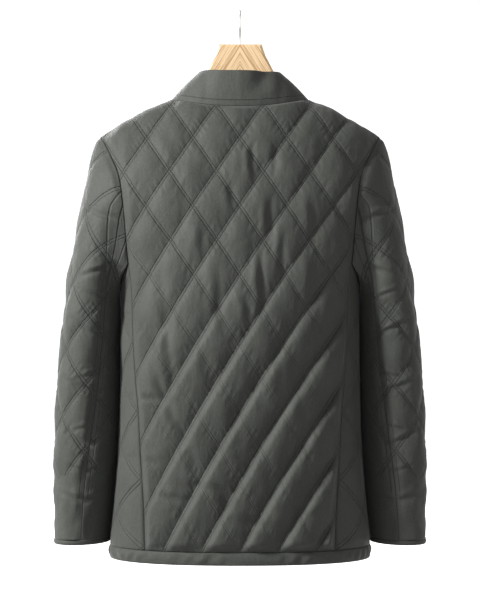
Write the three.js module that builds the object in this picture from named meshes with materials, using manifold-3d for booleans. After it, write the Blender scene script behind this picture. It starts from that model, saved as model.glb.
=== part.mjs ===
// Quilted jacket, filled out on a wooden hanger. Millimetres, +Z up, wearer's left is +X, front is -Y.
// The origin is the inside top of the hanger's hook bend, where a rail holds it.
import * as THREE from "three";
import { mergeVertices } from "three/addons/utils/BufferGeometryUtils.js";
import Module from "manifold-3d";

// Driving sizes of the cloth
const WALL = 2; // shell, filling and lining together at a stitched line
const COLLAR_WALL = 3;
const HEM_WALL = 4;
const SEAM = 0.3; // space between two sewn pieces
const ARMHOLE_SEAM = 0.5;
const ARMPIT_SEAM = 1.9;
const COLLAR_SEAM = 1;
const SHOULDER_HALF_SEAM = 0.25; // each side of the shoulder seam, along the cloth
const EDGE_FADE = 16; // the quilting's rise dies out this far from a seam

// Driving sizes of the shoulders and neck
const NECK_HALF = 108;
const NECK_POINT_Z = -139;
const BACK_NECK_Z = -154.4;
const FRONT_NECK_Z = -225;
const SHOULDER_HALF = 219;
const SHOULDER_POINT_Z = -197;
const SHOULDER_SLOPE = 0.42;
const SHOULDER_BEND = 0.00093;
const NECK_CROWN = 20; // the shoulder lines would meet this much higher over the neck
const SHOULDER_ROUND = 150; // drop over which the shoulder rolls from flat to upright
const ARMPIT_Z = -432;
const SIDE_PANEL_TOP_Z = -400;

// Driving sizes of the lower edges
const BODY_END_Z = -838.7;
const HEM_TOP_Z = -839;
const HEM_Z = -858.5;
const CUFF_SEAM_Z = -829;
const CUFF_Z = -837;
const FRONT_EDGE_X = 6; // where each front stops beside the zip

// Diamond quilting: one diamond is PITCH_Z high, and its width narrows to the hem
const PITCH_Z = 105;
const PITCH_X_TOP = 71.6;
const PITCH_X_HEM = 57;
const PITCH_NARROWS_FROM_Z = -305;
const LATTICE_Z = -206; // a crossing on the centre back line
const QUILT_RISE = 7;
const FOLD_RISE = 12; // slanting folds of the lower back
const SLEEVE_RISE = 6;
const STEPS_PER_DIAMOND = 6;
const SLEEVE_STEPS_PER_DIAMOND = 4;

// Torso sections from the hem up: half width, depth of the back and of the front
const ROUNDNESS = 2.3;
const torsoSection = smoothTable("z", [
  { z: -860, half: 204, back: 112, front: 112 },
  { z: -838, half: 204, back: 112, front: 112 },
  { z: -785, half: 199.3, back: 112, front: 113 },
  { z: -725, half: 194, back: 112, front: 113 },
  { z: -692, half: 191.5, back: 112, front: 114 },
  { z: -600, half: 188.5, back: 112, front: 115 },
  { z: -530, half: 187.8, back: 114, front: 116 },
  { z: -475, half: 187.4, back: 115.5, front: 115 },
  { z: -432, half: 188, back: 116, front: 114 },
  { z: -400, half: 194, back: 115, front: 112 },
  { z: -370, half: 206, back: 112, front: 108 },
  { z: -320, half: 222, back: 109, front: 103 },
  { z: -280, half: 245, back: 102, front: 96 },
  { z: -240, half: 258, back: 95, front: 88 },
  { z: -197, half: 268, back: 92, front: 85 },
  { z: -90, half: 270, back: 92, front: 85 },
]);

// Side edge of the back and of each front: the side seam up to the side panel's top, then the armhole
const panelEdge = smoothTable("z", [
  { z: -860, x: 144 },
  { z: -838, x: 145 },
  { z: -769, x: 147.6 },
  { z: -701, x: 152 },
  { z: -619, x: 157 },
  { z: -572, x: 161.5 },
  { z: -516, x: 165 },
  { z: -444, x: 167.5 },
  { z: -400, x: 172 },
  { z: -367, x: 175 },
  { z: -316, x: 179 },
  { z: -278, x: 183.5 },
  { z: -254, x: 189.5 },
  { z: -238, x: 197 },
  { z: -221, x: 205.5 },
  { z: -209, x: 212 },
  { z: SHOULDER_POINT_Z, x: SHOULDER_HALF },
  { z: -90, x: SHOULDER_HALF },
]);

// Sleeve rings from the armhole to the cuff: outermost point, innermost point, half depth and middle
const sleeveRing = smoothTable("outZ", [
  { outZ: -197, outX: 219, inZ: -432, inX: 188.8, half: 68, mid: 2, twist: 0 },
  { outZ: -214, outX: 227.5, inZ: -438, inX: 189.2, half: 69, mid: 1, twist: 1 },
  { outZ: -240, outX: 235.5, inZ: -445, inX: 189.3, half: 69, mid: 0, twist: 2 },
  { outZ: -275, outX: 243, inZ: -453, inX: 189.3, half: 69, mid: -1, twist: 3 },
  { outZ: -320, outX: 251, inZ: -463, inX: 189.3, half: 69, mid: -2, twist: 5 },
  { outZ: -370, outX: 260.5, inZ: -476, inX: 189.3, half: 69, mid: -3, twist: 7 },
  { outZ: -425, outX: 269, inZ: -495, inX: 189.4, half: 67, mid: -4, twist: 9 },
  { outZ: -485, outX: 276.5, inZ: -522, inX: 189.5, half: 64, mid: -5, twist: 11 },
  { outZ: -545, outX: 283, inZ: -562, inX: 189.8, half: 61, mid: -6, twist: 12 },
  { outZ: -605, outX: 287, inZ: -612, inX: 190.4, half: 58, mid: -6, twist: 12 },
  { outZ: -665, outX: 290, inZ: -667, inX: 192.6, half: 55, mid: -6, twist: 12 },
  { outZ: -725, outX: 292, inZ: -725, inX: 196.2, half: 52, mid: -6, twist: 12 },
  { outZ: -785, outX: 293, inZ: -785, inX: 201.4, half: 49, mid: -6, twist: 12 },
  { outZ: -829, outX: 292.5, inZ: -829, inX: 206.4, half: 47, mid: -6, twist: 12 },
  { outZ: -840, outX: 292.3, inZ: -840, inX: 207, half: 47, mid: -6, twist: 12 },
]);
const SLEEVE_BLEND = 150; // length over which the sleeve's end takes the armhole's shape
const FRONT_SLEEVE_SEAM = -110; // degrees from the outermost line towards the back
const backSleeveSeam = smoothTable("z", [
  { z: -310, angle: 88 },
  { z: -422, angle: 118 },
  { z: -475, angle: 119 },
  { z: -557, angle: 114 },
  { z: -666, angle: 102 },
  { z: -785, angle: 93 },
  { z: -829, angle: 93 },
]);

// Collar's top edge, from the centre back (0) round one side to the zip (1)
const collarTop = smoothTable("way", [
  { way: 0, x: 0, y: 54, z: -98.5 },
  { way: 0.15, x: 28, y: 50, z: -98 },
  { way: 0.3, x: 52, y: 34, z: -96 },
  { way: 0.42, x: 64, y: 12, z: -96.5 },
  { way: 0.5, x: 66.5, y: -6, z: -101 },
  { way: 0.6, x: 64, y: -28, z: -115 },
  { way: 0.75, x: 50, y: -53, z: -140 },
  { way: 0.9, x: 24, y: -70, z: -160 },
  { way: 1, x: 6.5, y: -74.5, z: -168 },
]);
const COLLAR_BOTTOM_SWEEP = 0.981 * Math.PI; // stops 6.5 mm short of the centre front

const CLOTH = new THREE.MeshStandardMaterial({ color: 0x55574f, roughness: 0.75, metalness: 0 });
const WOOD = new THREE.MeshStandardMaterial({ color: 0xe6c8a4, roughness: 0.55, metalness: 0 });
const STEEL = new THREE.MeshStandardMaterial({ color: 0xb9bab6, roughness: 0.3, metalness: 1 });
const ZIP_METAL = new THREE.MeshStandardMaterial({ color: 0x4a4c49, roughness: 0.4, metalness: 0.8 });
const TAPE = new THREE.MeshStandardMaterial({ color: 0x3b3d38, roughness: 0.85, metalness: 0 });

// Smooth curve through each named column of a table, with no overshoot between its rows.
function smoothTable(key, rows) {
  const sorted = [...rows].sort((a, b) => a[key] - b[key]);
  const last = sorted.length - 1;
  const step = (i, column) =>
    (sorted[i + 1][column] - sorted[i][column]) / (sorted[i + 1][key] - sorted[i][key]);
  const slope = (i, column) => {
    if (i === 0) return step(0, column);
    if (i === last) return step(last - 1, column);
    const before = step(i - 1, column);
    const after = step(i, column);
    return before * after <= 0 ? 0 : (2 * before * after) / (before + after);
  };
  const columns = Object.keys(sorted[0]).filter((name) => name !== key);
  return (value) => {
    const at = THREE.MathUtils.clamp(value, sorted[0][key], sorted[last][key]);
    let i = 0;
    while (i < last - 1 && sorted[i + 1][key] < at) i += 1;
    const width = sorted[i + 1][key] - sorted[i][key];
    const t = (at - sorted[i][key]) / width;
    const result = {};
    for (const name of columns) {
      const low = sorted[i][name];
      const high = sorted[i + 1][name];
      result[name] =
        low * (1 + 2 * t) * (1 - t) ** 2 +
        high * t * t * (3 - 2 * t) +
        width * (slope(i, name) * t * (1 - t) ** 2 - slope(i + 1, name) * t * t * (1 - t));
    }
    return result;
  };
}

const { lerp, smoothstep, degToRad, clamp } = THREE.MathUtils;

// Height of the shoulder line above each point across the body.
function ridgeZ(x) {
  const out = Math.abs(x) - NECK_HALF;
  if (out < 0) return NECK_POINT_Z + NECK_CROWN * (1 - (x / NECK_HALF) ** 2);
  return NECK_POINT_Z - SHOULDER_SLOPE * out - SHOULDER_BEND * out * out;
}

// Length down the cloth from the shoulder line, and the drop that it gives.
const ROLL_LENGTH = (SHOULDER_ROUND * Math.PI) / 2;
function dropOf(length) {
  const down = Math.abs(length);
  if (down > ROLL_LENGTH) return SHOULDER_ROUND + down - ROLL_LENGTH;
  return SHOULDER_ROUND * (1 - Math.cos(down / SHOULDER_ROUND));
}
function lengthOf(drop) {
  if (drop > SHOULDER_ROUND) return ROLL_LENGTH + drop - SHOULDER_ROUND;
  return SHOULDER_ROUND * Math.acos(1 - Math.max(drop, 0) / SHOULDER_ROUND);
}

// Point of the torso's smooth form. Side is 1 on the back and -1 on the front.
function torsoPoint(x, length, side) {
  const z = ridgeZ(x) - dropOf(length);
  const section = torsoSection(z);
  const depth = side > 0 ? section.back : section.front;
  const across = Math.max(0, 1 - (Math.abs(x) / section.half) ** ROUNDNESS) ** (1 / ROUNDNESS);
  const roll = Math.sin(clamp(length / SHOULDER_ROUND, -Math.PI / 2, Math.PI / 2));
  return new THREE.Vector3(x, side * depth * across * roll, z);
}
const torsoAt = (x, z, side) => torsoPoint(x, lengthOf(ridgeZ(x) - z), side);

function neckZ(x, side) {
  const out = Math.min(Math.abs(x) / NECK_HALF, 1);
  if (side > 0) return BACK_NECK_Z + (NECK_POINT_Z - BACK_NECK_Z) * out ** 2.2;
  return FRONT_NECK_Z + (NECK_POINT_Z - FRONT_NECK_Z) * out ** 2.4;
}

// Point of a side panel, across is -1 at the front seam and 1 at the back seam.
function sidePoint(across, z) {
  const side = across >= 0 ? 1 : -1;
  const edge = torsoAt(panelEdge(z).x + SEAM, z, side).y;
  const section = torsoSection(z);
  const depth = side > 0 ? section.back : section.front;
  const y = Math.abs(across) * edge;
  const x = section.half * (1 - (Math.abs(y) / depth) ** ROUNDNESS) ** (1 / ROUNDNESS);
  return new THREE.Vector3(x, y, z);
}
const sidePanelTop = (across) => ARMPIT_Z + (SIDE_PANEL_TOP_Z - ARMPIT_Z) * across * across;

// Point of the left armhole. The angle is 0 at the shoulder, 90 degrees at the back and 180 below.
function armholePoint(angle) {
  const z = lerp(SHOULDER_POINT_Z, ARMPIT_Z, (1 - Math.cos(angle)) / 2);
  const side = Math.sin(angle) >= 0 ? 1 : -1;
  if (z > SIDE_PANEL_TOP_Z) return torsoAt(panelEdge(z).x, z, side);
  const across = Math.sqrt(Math.max(0, z - ARMPIT_Z) / (SIDE_PANEL_TOP_Z - ARMPIT_Z));
  return sidePoint(side * across, z);
}

// Sleeve ring's centre, and a point of the left sleeve's smooth form.
function ringCentre(ring) {
  return new THREE.Vector3((ring.outX + ring.inX) / 2, ring.mid, (ring.outZ + ring.inZ) / 2);
}
function plainRingPoint(ring, angle) {
  const centre = ringCentre(ring);
  return new THREE.Vector3(
    centre.x + (Math.cos(angle) * (ring.outX - ring.inX)) / 2,
    ring.mid + ring.twist * Math.cos(angle) + ring.half * Math.sin(angle),
    centre.z + (Math.cos(angle) * (ring.outZ - ring.inZ)) / 2,
  );
}
function sleevePoint(angle, outZ) {
  const ring = { outZ, ...sleeveRing(outZ) };
  const point = plainRingPoint(ring, angle);
  const left = clamp(1 - (SHOULDER_POINT_Z - outZ) / SLEEVE_BLEND, 0, 1);
  const first = { outZ: SHOULDER_POINT_Z, ...sleeveRing(SHOULDER_POINT_Z) };
  const armhole = armholePoint(angle).sub(plainRingPoint(first, angle));
  armhole.x += lerp(ARMHOLE_SEAM, ARMPIT_SEAM, (1 - Math.cos(angle)) ** 2 / 4);
  return point.addScaledVector(armhole, left * left);
}
function sleeveOutward(angle, outZ) {
  const centre = ringCentre({ outZ, ...sleeveRing(outZ) });
  return sleevePoint(angle, outZ).sub(centre).normalize();
}

// Collar: up is 0 on the neck seam and 1 on the top edge, way runs from -1 to 1 round the neck.
function collarPoint(way, up) {
  const sweep = Math.abs(way) * COLLAR_BOTTOM_SWEEP;
  const side = sweep < Math.PI / 2 ? 1 : -1;
  const x = NECK_HALF * Math.sin(sweep);
  const low = torsoAt(x, neckZ(x, side), side);
  low.z += COLLAR_SEAM;
  const top = collarTop(Math.abs(way));
  const point = low.lerp(new THREE.Vector3(top.x, top.y, top.z), up);
  point.x *= Math.sign(way) || 1;
  return point;
}

// Rise of the quilting between its stitched lines, 0 on a line and 1 in a diamond's middle.
function pitchX(z) {
  const down = (PITCH_NARROWS_FROM_Z - z) / (PITCH_NARROWS_FROM_Z - HEM_Z);
  return lerp(PITCH_X_TOP, PITCH_X_HEM, clamp(down, 0, 1));
}
const turn = (value) => value - Math.floor(value);
function diamondRise(across, up) {
  const rising = Math.sin(Math.PI * turn(across + up));
  const falling = Math.sin(Math.PI * turn(up - across));
  return Math.sqrt(Math.abs(rising * falling));
}

// Slanting fold that climbs fast beside one stitched line and sinks slowly to the next.
const FOLD_CREST = 0.7;
function foldRise(across, up) {
  const way = turn(across + up);
  const climb = way < FOLD_CREST ? way / FOLD_CREST : (1 - way) / (1 - FOLD_CREST);
  const cross = Math.sin(Math.PI * turn(up - across));
  return Math.sin((climb * Math.PI) / 2) * (0.8 + 0.2 * Math.abs(cross));
}
function bodyRelief(x, z, foldShare) {
  const across = x / pitchX(z);
  const up = (z - LATTICE_Z) / PITCH_Z;
  const low = foldShare * smoothstep(-z, 400, 640);
  return lerp(QUILT_RISE * diamondRise(across, up), FOLD_RISE * foldRise(across, up), low);
}

// Joins the points of a grid, row by row, into triangles. Points that fall together become one.
function gridTriangles(columns, rows, place, height) {
  const points = [];
  const found = new Map();
  const index = [];
  for (let j = 0; j <= rows; j += 1) {
    for (let i = 0; i <= columns; i += 1) {
      const [u, v] = place(i, j);
      const name = u.toFixed(3) + "," + v.toFixed(3);
      if (!found.has(name)) {
        found.set(name, points.length);
        points.push({ u, v, i, j });
      }
      index.push(found.get(name));
    }
  }
  const triangles = [];
  const add = (a, b, c) => {
    if (a !== b && b !== c && c !== a) triangles.push([a, b, c]);
  };
  const at = (i, j) => index[j * (columns + 1) + i];
  const miss = (a, b) => {
    const [p, q] = [points[a], points[b]];
    const middle = height((p.u + q.u) / 2, (p.v + q.v) / 2);
    return Math.abs((height(p.u, p.v) + height(q.u, q.v)) / 2 - middle);
  };
  for (let j = 0; j < rows; j += 1) {
    for (let i = 0; i < columns; i += 1) {
      const [a, b, c, d] = [at(i, j), at(i + 1, j), at(i + 1, j + 1), at(i, j + 1)];
      if (miss(a, c) <= miss(b, d)) {
        add(a, b, c);
        add(a, c, d);
      } else {
        add(a, b, d);
        add(b, c, d);
      }
    }
  }
  return { points, triangles };
}

// Twice the signed area of a triangle of grid points.
function area(p, q, r) {
  return (q.u - p.u) * (r.v - p.v) - (r.u - p.u) * (q.v - p.v);
}

// Fills the ring of points round a removed one, shortest chords first.
function filledRing(ring, points, turnSign) {
  const left = [...ring];
  const faces = [];
  const inside = (p, a, b, c) =>
    turnSign * area(a, b, p) > -1e-9 && turnSign * area(b, c, p) > -1e-9 && turnSign * area(c, a, p) > -1e-9;
  while (left.length > 3) {
    let best = null;
    for (let i = 0; i < left.length; i += 1) {
      const names = [left.at(i - 1), left[i], left[(i + 1) % left.length]];
      const [a, b, c] = names.map((name) => points[name]);
      if (turnSign * area(a, b, c) < 1) continue;
      if (left.some((name) => !names.includes(name) && inside(points[name], a, b, c))) continue;
      const chord = Math.hypot(c.u - a.u, c.v - a.v);
      if (!best || chord < best.chord) best = { chord, i, names };
    }
    if (!best) return null;
    faces.push(best.names);
    left.splice(best.i, 1);
  }
  const [a, b, c] = left.map((name) => points[name]);
  if (turnSign * area(a, b, c) < 1) return null;
  faces.push(left);
  return faces;
}

// Takes out inner points, so that a plain side needs few triangles.
function thinned(points, triangles, isKept) {
  const faces = new Set(triangles);
  const around = points.map(() => new Set());
  const link = (face) => face.forEach((name) => around[name].add(face));
  triangles.forEach(link);
  const signs = triangles.map((face) => Math.sign(area(...face.map((name) => points[name]))));
  const turnSign = Math.sign(signs.reduce((sum, sign) => sum + sign, 0));
  points.forEach((point, name) => {
    if (isKept(point)) return;
    const next = new Map();
    for (const face of around[name]) {
      const k = face.indexOf(name);
      next.set(face[(k + 1) % 3], face[(k + 2) % 3]);
    }
    const start = next.keys().next().value;
    const ring = [start];
    while (next.has(ring.at(-1)) && next.get(ring.at(-1)) !== start && ring.length <= next.size) {
      ring.push(next.get(ring.at(-1)));
    }
    if (ring.length !== next.size || next.get(ring.at(-1)) !== start) return;
    const filling = filledRing(ring, points, turnSign);
    if (!filling) return;
    for (const face of [...around[name]]) {
      faces.delete(face);
      face.forEach((other) => around[other].delete(face));
    }
    filling.forEach((face) => {
      faces.add(face);
      link(face);
    });
  });
  return [...faces];
}

// Closed wall of cloth: outer(u, v) and inner(u, v) give its two faces over one grid.
function wall({ columns, rows, place, outer, inner, height = () => 0, isKept = () => true }) {
  const { points, triangles } = gridTriangles(columns, rows, place, height);
  const plain = thinned(points, triangles, isKept);
  const positions = [];
  points.forEach(({ u, v }) => positions.push(...outer(u, v).toArray()));
  points.forEach(({ u, v }) => positions.push(...inner(u, v).toArray()));
  const count = points.length;
  const index = [];
  const edges = new Map();
  triangles.forEach((face) => {
    index.push(...face);
    face.forEach((a, k) => {
      const b = face[(k + 1) % 3];
      if (edges.has(b + "," + a)) edges.delete(b + "," + a);
      else edges.set(a + "," + b, [a, b]);
    });
  });
  plain.forEach(([a, b, c]) => index.push(a + count, c + count, b + count));
  for (const [a, b] of edges.values()) {
    index.push(b, a, a + count);
    index.push(b, a + count, b + count);
  }
  return closedGeometry(positions, index);
}

// Geometry with merged points whose faces are turned outwards.
function closedGeometry(positions, index) {
  const geometry = new THREE.BufferGeometry();
  geometry.setAttribute("position", new THREE.Float32BufferAttribute(positions, 3));
  geometry.setIndex(index);
  const merged = mergeVertices(geometry, 1e-3);
  if (volumeOf(merged) < 0) flip(merged);
  merged.computeVertexNormals();
  return merged;
}
function volumeOf(geometry) {
  const [a, b, c] = [new THREE.Vector3(), new THREE.Vector3(), new THREE.Vector3()];
  const { index } = geometry;
  let sum = 0;
  for (let k = 0; k < index.count; k += 3) {
    a.fromBufferAttribute(geometry.attributes.position, index.getX(k));
    b.fromBufferAttribute(geometry.attributes.position, index.getX(k + 1));
    c.fromBufferAttribute(geometry.attributes.position, index.getX(k + 2));
    sum += a.dot(b.cross(c)) / 6;
  }
  return sum;
}
function flip(geometry) {
  const { index } = geometry;
  for (let k = 0; k < index.count; k += 3) {
    const second = index.getX(k + 1);
    index.setX(k + 1, index.getX(k + 2));
    index.setX(k + 2, second);
  }
}

// The same piece on the wearer's other side.
function mirrored(geometry) {
  const copy = geometry.clone();
  copy.scale(-1, 1, 1);
  flip(copy);
  copy.computeVertexNormals();
  return copy;
}

// Moves a point of a form out along the form's own normal.
function lifted(form, u, v, height, sign) {
  const reach = 0.5;
  const alongU = form(u + reach, v).sub(form(u - reach, v));
  const alongV = form(u, v + reach).sub(form(u, v - reach));
  const normal = alongU.cross(alongV).normalize();
  return form(u, v).addScaledVector(normal, sign * height);
}

// Levels of the quilting's rows, from the hem up.
function quiltLevels(top, bottom = BODY_END_Z, latticeZ = LATTICE_Z, steps = STEPS_PER_DIAMOND) {
  const step = PITCH_Z / steps;
  const below = Math.floor((latticeZ - bottom) / step - 0.5);
  const levels = [bottom];
  for (let z = latticeZ - step * below; z < top + step; z += step) levels.push(z);
  return levels;
}

// Back, or one front: columns follow the quilting, rows end in a fine roll over the shoulder.
const ROLL_ROWS = [65, 40, 20, 8, 0];
const SHOULDER_RELIEF = 0.2; // share of the quilting's height that is left on the shoulder line
const SHOULDER_FADE = 90;
function bodyPanel(side, fromColumn, toColumn, foldShare) {
  const levels = quiltLevels(NECK_POINT_Z);
  const form = (x, length) => torsoPoint(x, length, side);
  const topLength = (x) => {
    if (Math.abs(x) >= NECK_HALF) return SHOULDER_HALF_SEAM;
    return lengthOf(ridgeZ(x) - neckZ(x, side)) + SHOULDER_HALF_SEAM;
  };
  const lengthAt = (x, j) => {
    if (j >= levels.length) return topLength(x) + ROLL_ROWS[j - levels.length];
    return Math.max(lengthOf(ridgeZ(x) - levels[j]), topLength(x) + ROLL_ROWS[0]);
  };
  const place = (i, j) => {
    const column = (fromColumn + i) / STEPS_PER_DIAMOND;
    const wanted = column * pitchX(j < levels.length ? levels[j] : NECK_POINT_Z);
    let x = wanted;
    for (let pass = 0; pass < 6; pass += 1) {
      const edge = panelEdge(ridgeZ(x) - dropOf(lengthAt(x, j))).x - SEAM / 2;
      x = clamp(wanted, side > 0 ? -edge : FRONT_EDGE_X, edge);
    }
    return [x, lengthAt(x, j)];
  };
  const relief = (x, length) => {
    const z = ridgeZ(x) - dropOf(length);
    const toSide = panelEdge(z).x - Math.abs(x);
    const toFront = side > 0 ? Infinity : x - FRONT_EDGE_X;
    const room = Math.min(toSide, toFront, length - topLength(x), z - BODY_END_Z);
    const onShoulder = lerp(SHOULDER_RELIEF, 1, smoothstep(length, 0, SHOULDER_FADE));
    return bodyRelief(x, z, foldShare) * smoothstep(room, 0, EDGE_FADE) * onShoulder;
  };
  return wall({
    columns: toColumn - fromColumn,
    rows: levels.length - 1 + ROLL_ROWS.length,
    place,
    height: relief,
    outer: (x, length) => lifted(form, x, length, relief(x, length), side),
    inner: (x, length) => lifted(form, x, length, -WALL, side),
    isKept: ({ i, j }) => (i + fromColumn) % 3 === 0 && (j % 3 === 0 || j >= levels.length),
  });
}

// Panel under the arm, between the side seams.
const SIDE_COLUMNS = 8;
const SIDE_SPAN = 65; // rough half width along the cloth
const SIDE_RISE = 2.5;
function sidePanel() {
  const levels = quiltLevels(SIDE_PANEL_TOP_Z);
  const form = (u, z) => sidePoint(u / SIDE_SPAN, z);
  const place = (i, j) => {
    const across = (2 * i) / SIDE_COLUMNS - 1;
    return [across * SIDE_SPAN, Math.min(levels[j], sidePanelTop(across))];
  };
  const relief = (u, z) => {
    const across = u / SIDE_SPAN;
    const room = Math.min(SIDE_SPAN - Math.abs(u), z - BODY_END_Z);
    const belowArm = smoothstep(sidePanelTop(across) - z, 10, 90);
    const awayFromSleeve = belowArm * smoothstep(Math.abs(across), 0.3, 0.6);
    const rise = diamondRise((4 * across) / SIDE_COLUMNS, (z - LATTICE_Z) / PITCH_Z);
    return SIDE_RISE * rise * awayFromSleeve * smoothstep(room, 0, EDGE_FADE);
  };
  return wall({
    columns: SIDE_COLUMNS,
    rows: levels.length - 1,
    place,
    height: relief,
    outer: (u, z) => lifted(form, u, z, relief(u, z), 1),
    inner: (u, z) => lifted(form, u, z, -WALL, 1),
    isKept: ({ i, j }) => i % 2 === 0 && j % 3 === 0,
  });
}

// Value between two limits at which a rising function reaches a height.
function solve(rising, height, low, high) {
  let [a, b] = [low, high];
  for (let pass = 0; pass < 26; pass += 1) {
    const middle = (a + b) / 2;
    if (rising(middle) < height) a = middle;
    else b = middle;
  }
  return (a + b) / 2;
}

// Way along the cloth round a sleeve at one level, from the middle of its back, in millimetres.
const SLEEVE_BACK_LINE = 90; // degrees
const ARC_STEPS = 12;
function sleeveArc(angle, z) {
  const down = clamp((-300 - z) / 500, 0, 1);
  const halfWidth = lerp(30, 43, down);
  const halfDepth = lerp(69, 48, down);
  const step = degToRad(angle - SLEEVE_BACK_LINE) / ARC_STEPS;
  let sum = 0;
  for (let k = 0.5; k < ARC_STEPS; k += 1) {
    const turned = degToRad(SLEEVE_BACK_LINE) + k * step;
    sum += Math.hypot(halfWidth * Math.sin(turned), halfDepth * Math.cos(turned));
  }
  return sum * step;
}
const sleeveAngle = (arc, z) => solve((angle) => sleeveArc(angle, z), arc, -130, 270);
const sleeveTop = (angle) => armholePoint(degToRad(angle)).z;
const sleeveOutZ = (angle, z) =>
  solve((outZ) => sleevePoint(degToRad(angle), outZ).z, z, CUFF_SEAM_Z - 8, SHOULDER_POINT_Z);

// Half of a sleeve between its two seams. Columns follow the quilting, from one to another.
const SLEEVE_LATTICE_Z = -269;
const SLEEVE_PITCH = 68;
const SLEEVE_PLAIN_FROM_Z = -745;
function sleevePiece(fromColumn, toColumn, fromAngle, toAngle) {
  const levels = quiltLevels(SHOULDER_POINT_Z, CUFF_SEAM_Z, SLEEVE_LATTICE_Z, SLEEVE_STEPS_PER_DIAMOND);
  const place = (i, j) => {
    const arc = ((fromColumn + i) * SLEEVE_PITCH) / SLEEVE_STEPS_PER_DIAMOND;
    let z = levels[j];
    let angle = 0;
    for (let pass = 0; pass < 26; pass += 1) {
      const half = THREE.MathUtils.radToDeg(SEAM / 2 / sleeveRing(z).half);
      angle = clamp(sleeveAngle(arc, z), fromAngle(z) + half, toAngle(z) - half);
      z = Math.min(levels[j], sleeveTop(angle));
    }
    return [angle, z];
  };
  const relief = (angle, z) => {
    const arc = sleeveArc(angle, z);
    const toSeam = Math.min(arc - sleeveArc(fromAngle(z), z), sleeveArc(toAngle(z), z) - arc);
    const room = Math.min(toSeam, sleeveTop(angle) - z);
    const nearBody = smoothstep(-Math.cos(degToRad(angle)), 0.1, 0.85);
    const plain = smoothstep(-z, -SLEEVE_PLAIN_FROM_Z - 40, -SLEEVE_PLAIN_FROM_Z);
    const rise = lerp(SLEEVE_RISE, 0.2, nearBody) * (1 - plain);
    const quilt = diamondRise(-arc / SLEEVE_PITCH, (z - SLEEVE_LATTICE_Z) / PITCH_Z);
    return rise * quilt * smoothstep(room, 0, EDGE_FADE);
  };
  const raised = (angle, z, height) => {
    const turned = degToRad(angle);
    const outZ = sleeveOutZ(angle, z);
    return sleevePoint(turned, outZ).addScaledVector(sleeveOutward(turned, outZ), height);
  };
  return wall({
    columns: toColumn - fromColumn,
    rows: levels.length - 1,
    place,
    height: relief,
    outer: (angle, z) => raised(angle, z, relief(angle, z)),
    inner: (angle, z) => raised(angle, z, -WALL),
    isKept: ({ i, j }) => i % 2 === 0 && j % 2 === 0,
  });
}
const frontSeamAngle = () => FRONT_SLEEVE_SEAM;
const backSeamAngle = (z) => backSleeveSeam(z).angle;
const frontSeamFromBelow = () => FRONT_SLEEVE_SEAM + 360;

// Plain strip round the end of a sleeve.
const CUFF_COLUMNS = 24;
function cuffEdge() {
  const place = (i, j) => [(360 * (i % CUFF_COLUMNS)) / CUFF_COLUMNS, j ? CUFF_Z : CUFF_SEAM_Z - SEAM];
  const raised = (angle, outZ, height) => {
    const turned = degToRad(angle);
    return sleevePoint(turned, outZ).addScaledVector(sleeveOutward(turned, outZ), height);
  };
  return wall({
    columns: CUFF_COLUMNS,
    rows: 1,
    place,
    outer: (angle, outZ) => raised(angle, outZ, 0.6),
    inner: (angle, outZ) => raised(angle, outZ, -WALL - 0.4),
  });
}

// Stand collar, one plain wall round the neck.
const COLLAR_COLUMNS = 36;
const COLLAR_LENGTH = 300;
const COLLAR_HEIGHT = 59;
function collar() {
  const form = (u, v) => collarPoint(u / COLLAR_LENGTH, v / COLLAR_HEIGHT);
  const place = (i, j) => [COLLAR_LENGTH * ((2 * i) / COLLAR_COLUMNS - 1), (COLLAR_HEIGHT * j) / 3];
  const swell = (v) => 1.5 * Math.sin((Math.PI * v) / COLLAR_HEIGHT);
  return wall({
    columns: COLLAR_COLUMNS,
    rows: 3,
    place,
    outer: (u, v) => lifted(form, u, v, swell(v), -1),
    inner: (u, v) => lifted(form, u, v, swell(v) - COLLAR_WALL, -1),
  });
}

// Hem band, one piece from the zip round the back to the zip.
const HEM_COLUMNS = 72;
function hemBand() {
  const start = (FRONT_EDGE_X / torsoSection(HEM_Z).half) ** (ROUNDNESS / 2);
  const power = 2 / ROUNDNESS;
  const form = (u, z) => {
    const angle = u / 150;
    const section = torsoSection(z);
    const x = section.half * Math.sign(Math.sin(angle)) * Math.abs(Math.sin(angle)) ** power;
    const depth = Math.cos(angle) > 0 ? section.front : section.back;
    const y = -depth * Math.sign(Math.cos(angle)) * Math.abs(Math.cos(angle)) ** power;
    return new THREE.Vector3(x, y, z);
  };
  const place = (i, j) => {
    const angle = lerp(start, 2 * Math.PI - start, i / HEM_COLUMNS);
    return [angle * 150, lerp(HEM_Z, HEM_TOP_Z, j / 3)];
  };
  const swell = (z) => 0.6 + 1.4 * Math.sin((Math.PI * (z - HEM_Z)) / (HEM_TOP_Z - HEM_Z));
  return wall({
    columns: HEM_COLUMNS,
    rows: 3,
    place,
    outer: (u, z) => lifted(form, u, z, swell(z), 1),
    inner: (u, z) => lifted(form, u, z, swell(z) - HEM_WALL, 1),
  });
}

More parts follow.
